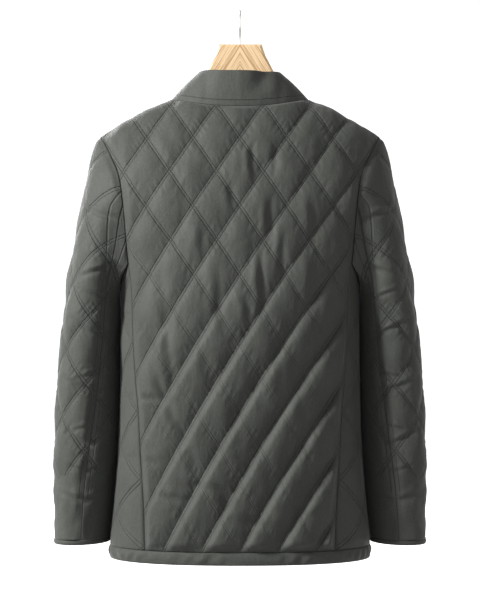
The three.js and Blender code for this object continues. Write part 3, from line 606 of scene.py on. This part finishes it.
SLEEVE_LATTICE_Z = -269.0
SLEEVE_PITCH = 68.0
SLEEVE_PLAIN_FROM = 745.0
SLEEVE_PLAIN_FADE = 40.0
SLEEVE_SEAM_FADE = 12.0
SLEEVE_STITCH_END_Z = -765.0
SLEEVE_BACK_LINE = math.pi / 2
SLEEVE_HALF_WIDTHS = (30, 43)  # at the upper arm and at the cuff
SLEEVE_HALF_DEPTHS = (69, 48)
SLEEVE_TAPER_FROM_Z = -300.0
SLEEVE_TAPER_LENGTH = 500.0
DEEPEST_PUCKER = -1.2
ARC_STEPS = 12
RING_HALVINGS = 26
RING_SPARE = 8.0  # rings searched below the cuff's seam
TOP_ROUNDS = 60
# Gathers along the sleeve's back seam: height, reach from the seam, width, depth and slant
SLEEVE_PUCKERS = [
    (-330, 30, 5, 2.6, 0.5),
    (-402, 34, 5, 3.2, -0.5),
    (-452, 26, 4, 2.2, 0.4),
    (-510, 34, 5, 3.2, 0.55),
    (-566, 24, 4, 2.4, -0.4),
    (-600, 36, 6, 3.4, 0.5),
    (-650, 22, 4, 2.0, -0.3),
    (-680, 34, 5, 3.0, 0.6),
    (-722, 26, 4, 2.2, 0.4),
    (-768, 36, 6, 3.0, 0.35),
]


def sleeve_arc(angle, z):
    """Way along the cloth round a sleeve at one level, from the middle of its back."""
    down = np.clip((SLEEVE_TAPER_FROM_Z - z) / SLEEVE_TAPER_LENGTH, 0, 1)
    half_width, half_depth = lerp(*SLEEVE_HALF_WIDTHS, down), lerp(*SLEEVE_HALF_DEPTHS, down)
    step = (angle - SLEEVE_BACK_LINE) / ARC_STEPS
    total = 0
    for k in range(ARC_STEPS):
        turned = SLEEVE_BACK_LINE + (k + 0.5) * step
        total = total + np.hypot(half_width * np.sin(turned), half_depth * np.cos(turned))
    return total * step


def sleeve_out_z(angle, z):
    """Which ring of the sleeve reaches a level at this angle."""
    low, high = np.full_like(z, CUFF_SEAM_Z - RING_SPARE), np.full_like(z, SHOULDER_POINT_Z)
    for _ in range(RING_HALVINGS):
        middle = (low + high) / 2
        under = plain_ring_point(middle, angle)[..., 2] < z
        low, high = np.where(under, middle, low), np.where(under, high, middle)
    return (low + high) / 2


def sleeve_piece(name, from_angle, to_angle, seam_side, columns, rows=215):
    """Half of the left sleeve between its seams. seam_side says which end of a row is the back seam."""
    share = np.linspace(0, 1, columns)

    def angle_at(share_of, z):
        gap = SLEEVE_SEAM / 2 / sleeve_ring["half"](z)
        return lerp(from_angle(z) + gap, to_angle(z) - gap, share_of)

    top = np.full(columns, SHOULDER_POINT_Z)
    for _ in range(TOP_ROUNDS):
        top = lerp(SHOULDER_POINT_Z, ARMPIT_Z, (1 - np.cos(angle_at(share, top))) / 2)
    top_z, way = grid(top, np.linspace(0, 1, rows))
    z = lerp(CUFF_SEAM_Z, top_z, way)
    angle = angle_at(share[None, :], z)
    out_z = sleeve_out_z(angle, z)
    base = sleeve_point(angle, out_z)
    outward = unit(base - ring_centre(out_z))
    arc = sleeve_arc(angle, z)
    across = -arc / SLEEVE_PITCH
    up = (z - SLEEVE_LATTICE_Z) / PITCH_Z
    near_body = smoothstep(-np.cos(angle), 0.1, 0.85)
    plain = smoothstep(-z, SLEEVE_PLAIN_FROM - SLEEVE_PLAIN_FADE, SLEEVE_PLAIN_FROM)
    to_start = arc - sleeve_arc(from_angle(z), z)
    to_end = sleeve_arc(to_angle(z), z) - arc
    room = np.minimum.reduce([to_start, to_end, top_z - z])
    fade = smoothstep(room, 0, SLEEVE_SEAM_FADE)
    free = lerp(1.0, 0.05, near_body)
    rise = SLEEVE_RISE * free * (1 - plain) * diamond_rise(across, up, 0.8) * fade
    rise += 0.5 * gathers(across, up) * free * (1 - plain) * fade
    from_seam = to_end if seam_side == "end" else to_start
    for z_at, reach, width, depth, slant in SLEEVE_PUCKERS:
        off = (z - z_at - slant * from_seam) / (0.75 * width)
        near = 1.15 * free * np.exp(-((from_seam / reach) ** 2))
        rise -= depth * near * np.exp(-off ** 2)
        rise += 0.7 * depth * near * np.exp(-((off - 1.8) ** 2)) * fade
    rise += 0.7 * free * fade * rumple(arc, z, 3)
    rise += 0.8 * plain * free * fade * np.sin(z / 9 + arc / 30)
    rise = np.maximum(rise, DEEPEST_PUCKER) + beside_arm(top_z - z) * near_body
    layers = {
        "stitch_a": across + up,
        "stitch_b": up - across,
        "room": room * (1 - smoothstep(plain, 0.3, 0.7)),
        "cross": 1,
        "edge": room,
        "seam": np.where(z > SLEEVE_STITCH_END_Z, from_seam, 0),
    }
    outer = base + outward * rise[..., None]
    return cloth_mesh(name, outer, base - outward * WALL, layers=layers), flat_area(base)


def cuff_edge(name, columns=160, rows=8):
    """Narrow rolled edge all round the left cuff, with faint ribs where it is gathered."""
    around = np.linspace(0, 2 * math.pi, columns, endpoint=False)
    angle, out_z = grid(around, np.linspace(CUFF_SEAM_Z - SEAM, CUFF_Z, rows))
    base = sleeve_point(angle, out_z)
    outward = unit(base - ring_centre(out_z))
    share = (out_z - CUFF_Z) / (CUFF_SEAM_Z - SEAM - CUFF_Z)
    rise = 1.0 * np.sin(math.pi * share) + 0.15 * np.sin(angle * 60)
    inner = base - outward * (WALL + 0.4 * np.sin(math.pi * share))[..., None]
    return cloth_mesh(name, base + outward * rise[..., None], inner, closed=True), flat_area(base)


COLLAR_LENGTH = 300.0
COLLAR_HEIGHT = 59.0
# Upright rolls at the back of the collar: x, width and depth
COLLAR_ROLLS = [
    (-64, 9, 1.6),
    (52, 8, 1.2),
]


def collar(columns=220, rows=44):
    """Stand collar with a soft dent right of the middle and a slow roll at its left."""
    u, v = grid(np.linspace(-COLLAR_LENGTH, COLLAR_LENGTH, columns), np.linspace(0, COLLAR_HEIGHT, rows))

    def form(a, b):
        return collar_point(a / COLLAR_LENGTH, b / COLLAR_HEIGHT)

    base = form(u, v)
    normal = -normals(form, u, v)
    up = v / COLLAR_HEIGHT
    swell = 1.5 * np.sin(math.pi * up)
    x = base[..., 0]
    slanted = x + 26 + 14 * up
    dent = 6.5 * np.exp(-((slanted / 17) ** 2)) * smoothstep(up, 0.15, 0.75)
    for roll_x, width, depth in COLLAR_ROLLS:
        dent += depth * np.exp(-(((x - roll_x) / width) ** 2)) * np.sin(math.pi * up)
    front_dent = 1.4 * np.exp(-(((np.abs(x) - 70) / 14) ** 2)) * up
    dent = np.where(base[..., 1] > 0, dent, front_dent)
    outer = base + normal * (swell - dent)[..., None]
    inner = base + normal * (swell - dent - COLLAR_WALL)[..., None]
    layers = {"edge": np.minimum(v, COLLAR_HEIGHT - v), "rise": v}
    return cloth_mesh("collar_cloth", outer, inner, layers=layers), flat_area(base)


HEM_HALF = 204.0
HEM_TURN = 150.0  # length of band to one radian round the body


def hem_band(columns=560, rows=18):
    """Hem band with uneven slanting creases, one piece from the zip round to the zip."""
    start = (FRONT_EDGE_X / HEM_HALF) ** (ROUNDNESS / 2)
    power = 2 / ROUNDNESS

    def form(u, z):
        angle = u / HEM_TURN
        half = torso_section["half"](z)
        x = half * np.sign(np.sin(angle)) * np.abs(np.sin(angle)) ** power
        depth = np.where(np.cos(angle) > 0, torso_section["front"](z), torso_section["back"](z))
        return points(x, -depth * np.sign(np.cos(angle)) * np.abs(np.cos(angle)) ** power, z)

    around = np.linspace(start, 2 * math.pi - start, columns) * HEM_TURN
    u, z = grid(around, np.linspace(HEM_Z, HEM_TOP_Z, rows))
    base = form(u, z)
    normal = normals(form, u, z)
    up = (z - HEM_Z) / (HEM_TOP_Z - HEM_Z)
    swell = 0.6 + 2.2 * np.sin(math.pi * up) ** 0.7
    creases = 1.5 * np.sin(u / 6.3 + 0.9 * np.sin(u / 21) + up * 2.6) * np.sin(u / 43 + 1) ** 2
    creases += 0.9 * np.sin(u / 3.4 - up * 2.8 + np.sin(u / 17)) * np.sin(u / 31) ** 2
    outer = base + normal * (swell + creases * np.sin(math.pi * up))[..., None]
    inner = base + normal * (swell * 0.4 - HEM_WALL)[..., None]
    return cloth_mesh("hem_band_cloth", outer, inner), flat_area(base)


# Materials


def new_material(name):
    material = bpy.data.materials.new(name)
    material.use_nodes = True
    nodes = material.node_tree.nodes
    nodes.clear()
    output = nodes.new("ShaderNodeOutputMaterial")
    shader = nodes.new("ShaderNodeBsdfPrincipled")
    material.node_tree.links.new(shader.outputs[0], output.inputs[0])
    return material, nodes, material.node_tree.links, shader


class Graph:
    """Short way to write node maths."""

    def __init__(self, nodes, links):
        self.nodes = nodes
        self.links = links

    def put(self, socket, value):
        if isinstance(value, bpy.types.NodeSocket):
            self.links.new(value, socket)
        else:
            socket.default_value = value

    def math(self, operation, a, b=0.0, c=0.0):
        node = self.nodes.new("ShaderNodeMath")
        node.operation = operation
        for socket, value in zip(node.inputs, (a, b, c)):
            self.put(socket, value)
        return node.outputs[0]

    def attribute(self, name):
        node = self.nodes.new("ShaderNodeAttribute")
        node.attribute_name = name
        return node.outputs["Fac"]

    def position(self, scale=1.0):
        node = self.nodes.new("ShaderNodeTexCoord")
        mapping = self.nodes.new("ShaderNodeMapping")
        mapping.inputs["Scale"].default_value = (scale,) * 3 if isinstance(scale, float) else scale
        self.links.new(node.outputs["Object"], mapping.inputs["Vector"])
        return mapping.outputs[0]

    def noise(self, vector, scale, detail=3.0, roughness=0.5):
        node = self.nodes.new("ShaderNodeTexNoise")
        self.put(node.inputs["Vector"], vector)
        self.put(node.inputs["Scale"], scale)
        self.put(node.inputs["Detail"], detail)
        self.put(node.inputs["Roughness"], roughness)
        return node.outputs["Fac"]

    def band(self, value, low, high):
        node = self.nodes.new("ShaderNodeMapRange")
        node.interpolation_type = "SMOOTHSTEP"
        self.put(node.inputs["Value"], value)
        self.put(node.inputs["From Min"], low)
        self.put(node.inputs["From Max"], high)
        return node.outputs["Result"]

    def mix(self, factor, a, b):
        node = self.nodes.new("ShaderNodeMix")
        node.data_type = "RGBA"
        self.put(node.inputs[0], factor)
        self.put(node.inputs[6], a)
        self.put(node.inputs[7], b)
        return node.outputs[2]

    def bump(self, height, strength, distance, normal=None):
        node = self.nodes.new("ShaderNodeBump")
        self.put(node.inputs["Height"], height)
        self.put(node.inputs["Strength"], strength)
        self.put(node.inputs["Distance"], distance)
        if normal is not None:
            self.links.new(normal, node.inputs["Normal"])
        return node.outputs[0]


CLOTH_COLOUR = (0.06, 0.0635, 0.056, 1)
CLOTH_DARK = (0.047, 0.05, 0.044, 1)
CLOTH_LIGHT = (0.1, 0.105, 0.094, 1)
THREAD_COLOUR = (0.022, 0.024, 0.02, 1)
WOOD_DARK = (0.5, 0.29, 0.13, 1)
WOOD_LIGHT = (0.86, 0.62, 0.36, 1)
TAPE_DARK = (0.03, 0.032, 0.028, 1)
TAPE_LIGHT = (0.055, 0.058, 0.05, 1)
SLIDER_COLOUR = (0.12, 0.12, 0.115, 1)
HOOK_COLOUR = (0.62, 0.62, 0.6, 1)
TOPSTITCH_FROM_SEAM = 6.0
COLLAR_TOPSTITCH = 9.0
NEEDLE_GAP_HALF = 2.0


def needle_line(graph, off):
    """1 on a stitched line and 0 beside it, from the distance in millimetres."""
    return graph.math("SUBTRACT", 1.0, graph.band(off, 0.2, 0.95))


def double_stitch(graph, way):
    """Two needle lines 4 mm apart on each whole number of way."""
    near = graph.math("ABSOLUTE", graph.math("SUBTRACT", way, graph.math("ROUND", way)))
    reach = graph.math("MULTIPLY", near, LINE_GAP)
    off = graph.math("ABSOLUTE", graph.math("SUBTRACT", reach, NEEDLE_GAP_HALF))
    return needle_line(graph, off)


def dashes(graph, along, length_mm=3.2):
    beat = graph.math("SINE", graph.math("MULTIPLY", along, math.tau / length_mm))
    return graph.band(beat, -0.6, 0.2)


def cloth_material(name, quilted):
    material, nodes, links, shader = new_material(name)
    graph = Graph(nodes, links)
    place = graph.position()
    mottled = graph.noise(place, 11.0, 4.0, 0.6)
    colour = graph.mix(graph.band(mottled, 0.3, 0.75), CLOTH_DARK, CLOTH_COLOUR)
    slub = graph.noise(graph.position((1.0, 1.0, 0.7)), 420.0, 2.0, 0.7)
    colour = graph.mix(graph.math("MULTIPLY", graph.band(slub, 0.35, 0.65), 0.22), colour, CLOTH_LIGHT)
    weave = graph.noise(graph.position((1.0, 1.0, 0.5)), 1500.0, 2.0, 0.6)
    crumple = graph.noise(graph.position((1.0, 1.0, 0.4)), 60.0, 4.0, 0.6)
    normal = graph.bump(weave, 0.3, 0.0004)
    normal = graph.bump(crumple, 0.5, 0.003, normal)
    if quilted:
        a, b = graph.attribute("stitch_a"), graph.attribute("stitch_b")
        inside = graph.band(graph.attribute("room"), 0.3, 1.5)
        line_a = graph.math("MULTIPLY", double_stitch(graph, a), inside)
        crossing = graph.math("MULTIPLY", inside, graph.attribute("cross"))
        line_b = graph.math("MULTIPLY", double_stitch(graph, b), crossing)
        thread_a = graph.math("MULTIPLY", line_a, dashes(graph, graph.math("MULTIPLY", b, LINE_GAP)))
        thread_b = graph.math("MULTIPLY", line_b, dashes(graph, graph.math("MULTIPLY", a, LINE_GAP)))
        seam = graph.attribute("seam")
        off = graph.math("ABSOLUTE", graph.math("SUBTRACT", seam, TOPSTITCH_FROM_SEAM))
        line = graph.math("MAXIMUM", graph.math("MAXIMUM", line_a, line_b), needle_line(graph, off))
        sewn_edge = graph.math("SUBTRACT", 1.0, graph.band(graph.attribute("edge"), 0.2, 1.3))
        thread = graph.math("MAXIMUM", graph.math("MAXIMUM", thread_a, thread_b), sewn_edge)
    else:
        off = graph.math("ABSOLUTE", graph.math("SUBTRACT", graph.attribute("rise"), COLLAR_TOPSTITCH))
        line = needle_line(graph, off)
        thread = line
    colour = graph.mix(graph.math("MULTIPLY", thread, 0.8 if quilted else 0.4), colour, THREAD_COLOUR)
    normal = graph.bump(graph.math("SUBTRACT", 1.0, line), 0.9, 0.0012, normal)
    links.new(colour, shader.inputs["Base Color"])
    links.new(normal, shader.inputs["Normal"])
    rough = graph.math("ADD", 0.58, graph.math("MULTIPLY", crumple, 0.16))
    links.new(rough, shader.inputs["Roughness"])
    shader.inputs["Sheen Weight"].default_value = 0.1
    shader.inputs["Sheen Roughness"].default_value = 0.5
    shader.inputs["Specular IOR Level"].default_value = 0.2
    return material


def wood_material():
    """Pale wood with a chevron of grain that meets over the hook."""
    material, nodes, links, shader = new_material("hanger_wood")
    graph = Graph(nodes, links)
    split = nodes.new("ShaderNodeSeparateXYZ")
    links.new(graph.position(), split.inputs[0])
    side = graph.math("ABSOLUTE", split.outputs[0])
    slant = graph.math("ADD", split.outputs[2], graph.math("MULTIPLY", side, 1.6))
    combined = nodes.new("ShaderNodeCombineXYZ")
    links.new(graph.math("MULTIPLY", slant, 26.0), combined.inputs[0])
    links.new(graph.math("MULTIPLY", side, 2.0), combined.inputs[1])
    links.new(split.outputs[1], combined.inputs[2])
    grain = graph.noise(combined.outputs[0], 9.0, 6.0, 0.65)
    colour = graph.mix(graph.band(grain, 0.4, 0.56), WOOD_DARK, WOOD_LIGHT)
    links.new(colour, shader.inputs["Base Color"])
    links.new(graph.bump(grain, 0.15, 0.0004), shader.inputs["Normal"])
    shader.inputs["Roughness"].default_value = 0.42
    shader.inputs["Coat Weight"].default_value = 0.2
    return material


def metal_material(name, colour, roughness):
    material, nodes, links, shader = new_material(name)
    graph = Graph(nodes, links)
    streaks = graph.noise(graph.position((1.0, 1.0, 0.1)), 900.0, 2.0, 0.5)
    links.new(graph.bump(streaks, 0.08, 0.0001), shader.inputs["Normal"])
    uneven = graph.math("ADD", roughness, graph.math("MULTIPLY", streaks, 0.12))
    links.new(uneven, shader.inputs["Roughness"])
    darker = tuple(0.8 * c for c in colour[:3]) + (1,)
    mottled = graph.noise(graph.position(), 60.0)
    links.new(graph.mix(mottled, colour, darker), shader.inputs["Base Color"])
    shader.inputs["Metallic"].default_value = 1.0
    return material


def tape_material():
    material, nodes, links, shader = new_material("zip_tape_woven")
    graph = Graph(nodes, links)
    ribs = nodes.new("ShaderNodeTexWave")
    ribs.bands_direction = "Z"
    ribs.inputs["Scale"].default_value = 260.0
    links.new(graph.position(), ribs.inputs["Vector"])
    colour = graph.mix(ribs.outputs["Fac"], TAPE_DARK, TAPE_LIGHT)
    links.new(colour, shader.inputs["Base Color"])
    links.new(graph.bump(ribs.outputs["Fac"], 0.4, 0.0003), shader.inputs["Normal"])
    shader.inputs["Roughness"].default_value = 0.8
    return material


def dress(thing, node, material):
    """Puts a cloth piece in place of its CAD node."""
    thing.data.materials.clear()
    thing.data.materials.append(material)
    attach(thing, "jacket")
    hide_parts(node)


def dress_both(left, node, material):
    """Dresses a left piece and its mirrored copy on the right."""
    right = mirrored(left, left.name.replace("_left", "_right"))
    for thing, side_name in ((left, "_left"), (right, "_right")):
        dress(thing, node + side_name, material)


quilted = cloth_material("quilted_cloth", True)
plain = cloth_material("plain_cloth", False)

# Back
back, back_area = body_panel("back_cloth", 1, *BACK_GRID, 1.0, [(BACK_CREASES, False), (FLAT_CREASES, True)])
dress(back, "back_panel", quilted)

# Fronts
FRONT_CREASES = [
    # x, z, length, width, depth, lean
    (60, -300, 40, 6, 2.2, 0.05),
    (120, -350, 46, 7, 2.4, -0.05),
    (84, -420, 50, 7, 2.0, 0.08),
    (40, -500, 50, 8, 2.0, 0.1),
    (118, -540, 60, 8, 2.4, 0.1),
    (70, -640, 56, 9, 2.0, 0.15),
    (110, -720, 50, 9, 2.0, 0.2),
]
front, front_area = body_panel("front_cloth_left", -1, *FRONT_GRID, 0.5, [(FRONT_CREASES, False)])
dress_both(front, "front", quilted)

# Side panels
side, side_area = side_panel("side_cloth_left")
dress_both(side, "side_panel", quilted)


# Sleeves
def front_seam(z):
    return np.full_like(z, math.radians(FRONT_SLEEVE_SEAM))


def back_seam(z):
    return np.radians(back_sleeve_seam(z))


def front_seam_from_below(z):
    return front_seam(z) + math.tau


SLEEVES = [
    # name, from, to, end of a row at the back seam, columns
    ("sleeve_top", front_seam, back_seam, "end", 130),
    ("sleeve_under", back_seam, front_seam_from_below, "start", 80),
]
for name, start, end, seam_side, columns in SLEEVES:
    left, area = sleeve_piece(name + "_cloth_left", start, end, seam_side, columns)
    dress_both(left, name, quilted)

# Cuff edges, collar and hem band
cuff, cuff_area = cuff_edge("cuff_edge_cloth_left")
dress_both(cuff, "cuff_edge", plain)
collar_thing, collar_area = collar()
dress(collar_thing, "collar", plain)
hem, hem_area = hem_band()
dress(hem, "hem_band", plain)

# Hanger, hook, slider and pull keep their CAD form
zip_metal = metal_material("slider_metal", SLIDER_COLOUR, 0.35)
for node, material in (
    ("hanger", wood_material()),
    ("hanger_hook", metal_material("hook_steel", HOOK_COLOUR, 0.25)),
    ("zip_slider", zip_metal),
    ("zip_pull", zip_metal),
):
    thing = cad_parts[node]
    thing.data.materials.clear()
    thing.data.materials.append(material)

# Zip
ZIP_STEPS = 240
ZIP_TOP_Z = -168.0
ZIP_TOP_Y = -74.5
ZIP_HALF_THICKNESS = 1.2
TAPE_HALF_THICKNESS = 0.6
TAPE_EDGE_X = 2.4
TAPE_INSET = 0.3
TEETH_FROM_HEM = 4.0
TEETH_ENDS = 6.0
TOOTH_STEP = 1.6
TOOTH_FILL = 0.82
TOOTH_IN_TAPE = 0.6
TOOTH_THINNER = 0.2
TOOTH_REACH = 1.15  # past the centre line, between two teeth of the other side


def zip_path(steps):
    """Heights down the zip with its middle's depth: the front's own curve, then straight up the collar."""
    z = np.linspace(HEM_Z, ZIP_TOP_Z, steps)
    seam_z = float(neck_z(np.array(FRONT_EDGE_X), -1))
    seam_y = float(torso_at(np.array(FRONT_EDGE_X), np.array(seam_z), -1)[1])
    on_body = torso_at(np.full_like(z, FRONT_EDGE_X), np.minimum(z, seam_z), -1)[:, 1]
    way = np.clip((z - seam_z) / (ZIP_TOP_Z - seam_z), 0, 1)
    return z, np.where(z > seam_z, lerp(seam_y, ZIP_TOP_Y, way), on_body)


def boxes_mesh(name, centres, sizes):
    """Many small boxes of one size in one mesh."""
    corner = np.array([(x, y, z) for x in (-1, 1) for y in (-1, 1) for z in (-1, 1)]) / 2
    quads = np.array([(0, 1, 3, 2), (4, 6, 7, 5), (0, 4, 5, 1), (2, 3, 7, 6), (0, 2, 6, 4), (1, 5, 7, 3)])
    vertices = (centres[:, None, :] + corner[None] * np.array(sizes)).reshape(-1, 3) * MM
    faces = (quads[None] + 8 * np.arange(len(centres))[:, None, None]).reshape(-1, 4)
    mesh = bpy.data.meshes.new(name)
    mesh.from_pydata(vertices.tolist(), [], faces.tolist())
    thing = bpy.data.objects.new(name, mesh)
    bpy.context.scene.collection.objects.link(thing)
    return thing


def zip_half(side, node):
    """Woven tape and its moulded teeth, on one side of the centre line."""
    z, y = zip_path(ZIP_STEPS)
    x = np.array([TAPE_EDGE_X, FRONT_EDGE_X - TAPE_INSET])
    form = points(x[None, :], y[:, None], z[:, None])
    half = np.array([0, TAPE_HALF_THICKNESS, 0])
    tape = cloth_mesh("tape_cloth" + side, form - half, form + half)
    tape.data.materials.append(tape_material())
    count = int((ZIP_TOP_Z - HEM_Z - TEETH_ENDS) / TOOTH_STEP / 2)
    offset = TOOTH_STEP if side == "_right" else 0
    levels = HEM_Z + TEETH_FROM_HEM + 2 * TOOTH_STEP * np.arange(count) + offset
    depths = np.interp(levels, z, y)
    reach = TAPE_EDGE_X + TOOTH_IN_TAPE + TOOTH_REACH
    centres = points((TAPE_EDGE_X + TOOTH_IN_TAPE - TOOTH_REACH) / 2, depths, levels)
    size = (reach, 2 * ZIP_HALF_THICKNESS - TOOTH_THINNER, TOOTH_STEP * TOOTH_FILL)
    teeth = boxes_mesh("zip_teeth" + side, centres, size)
    teeth.data.materials.append(zip_metal)
    for thing in (tape, teeth):
        if side == "_right":
            flip_left_right(thing.data)
        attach(thing, "jacket")
        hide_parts(node)


zip_half("_left", "zip_left")
zip_half("_right", "zip_right")


# Stage, light and camera
CAMERA_DISTANCE = 2.8
CAMERA_HEIGHT = -0.455
FRAME_HEIGHT = 0.948
SENSOR_HEIGHT = 24
FLOOR_Z = -1.02
DOME_RADIUS = 6.0
DOME_BEND = 1.0
DOME_HEIGHT = 5.0
DOME_TURNS = 64
BACKDROP_GLOW = 0.85
WORLD_LIGHT = 0.23
LIT_MIDDLE = (0, 0, -0.45)
# name, place, size, power
LIGHTS = [
    ("key", (2.55, 1.3, 0.85), (0.55, 0.8), 180),
    ("fill", (-1.6, 2.6, 0.2), (1.6, 1.6), 6),
    ("front", (1.4, -2.2, 0.7), (1.2, 1.2), 70),
]


def stage():
    """Pale floor that turns up into a round white backdrop."""
    material, _, _, shader = new_material("backdrop_white")
    shader.inputs["Base Color"].default_value = (0.8, 0.8, 0.8, 1)
    shader.inputs["Roughness"].default_value = 0.9
    shader.inputs["Emission Color"].default_value = (1, 1, 1, 1)
    shader.inputs["Emission Strength"].default_value = BACKDROP_GLOW
    flat = DOME_RADIUS - DOME_BEND
    profile = [(0.02, FLOOR_Z), (flat, FLOOR_Z)]
    for t in np.linspace(0.1, math.pi / 2, 12):
        profile.append((flat + DOME_BEND * math.sin(t), FLOOR_Z + DOME_BEND * (1 - math.cos(t))))
    profile.append((DOME_RADIUS, DOME_HEIGHT))
    around = np.linspace(0, math.tau, DOME_TURNS + 1)[:-1]
    vertices = [(r * math.cos(t), r * math.sin(t), z) for r, z in profile for t in around]
    faces = []
    for low in range(0, (len(profile) - 1) * DOME_TURNS, DOME_TURNS):
        high = low + DOME_TURNS
        for i in range(DOME_TURNS):
            after = (i + 1) % DOME_TURNS
            faces.append((low + i, low + after, high + after, high + i))
    mesh = bpy.data.meshes.new("backdrop")
    mesh.from_pydata(vertices, [], faces)
    mesh.materials.append(material)
    mesh.shade_smooth()
    thing = bpy.data.objects.new("backdrop", mesh)
    bpy.context.scene.collection.objects.link(thing)
    thing.visible_diffuse = False
    thing.visible_shadow = False


def area_light(name, place, size, power):
    light = bpy.data.lights.new(name, "AREA")
    light.shape = "RECTANGLE"
    light.size, light.size_y = size
    light.energy = power
    thing = bpy.data.objects.new(name, light)
    thing.location = place
    thing.rotation_euler = (Vector(LIT_MIDDLE) - Vector(place)).to_track_quat("-Z", "Y").to_euler()
    bpy.context.scene.collection.objects.link(thing)


def lights():
    world = bpy.data.worlds.new("soft_white")
    world.use_nodes = True
    background = world.node_tree.nodes["Background"]
    background.inputs["Color"].default_value = (1, 1, 1, 1)
    background.inputs["Strength"].default_value = WORLD_LIGHT
    bpy.context.scene.world = world
    for row in LIGHTS:
        area_light(*row)
    bpy.context.scene.view_settings.view_transform = "Standard"


def camera():
    data = bpy.data.cameras.new("camera")
    data.sensor_fit = "VERTICAL"
    data.sensor_height = SENSOR_HEIGHT
    data.lens = SENSOR_HEIGHT * CAMERA_DISTANCE / FRAME_HEIGHT
    thing = bpy.data.objects.new("camera", data)
    thing.location = (0, CAMERA_DISTANCE, CAMERA_HEIGHT)
    thing.rotation_euler = (math.pi / 2, 0, math.pi)
    bpy.context.scene.collection.objects.link(thing)
    bpy.context.scene.camera = thing


stage()
lights()
camera()
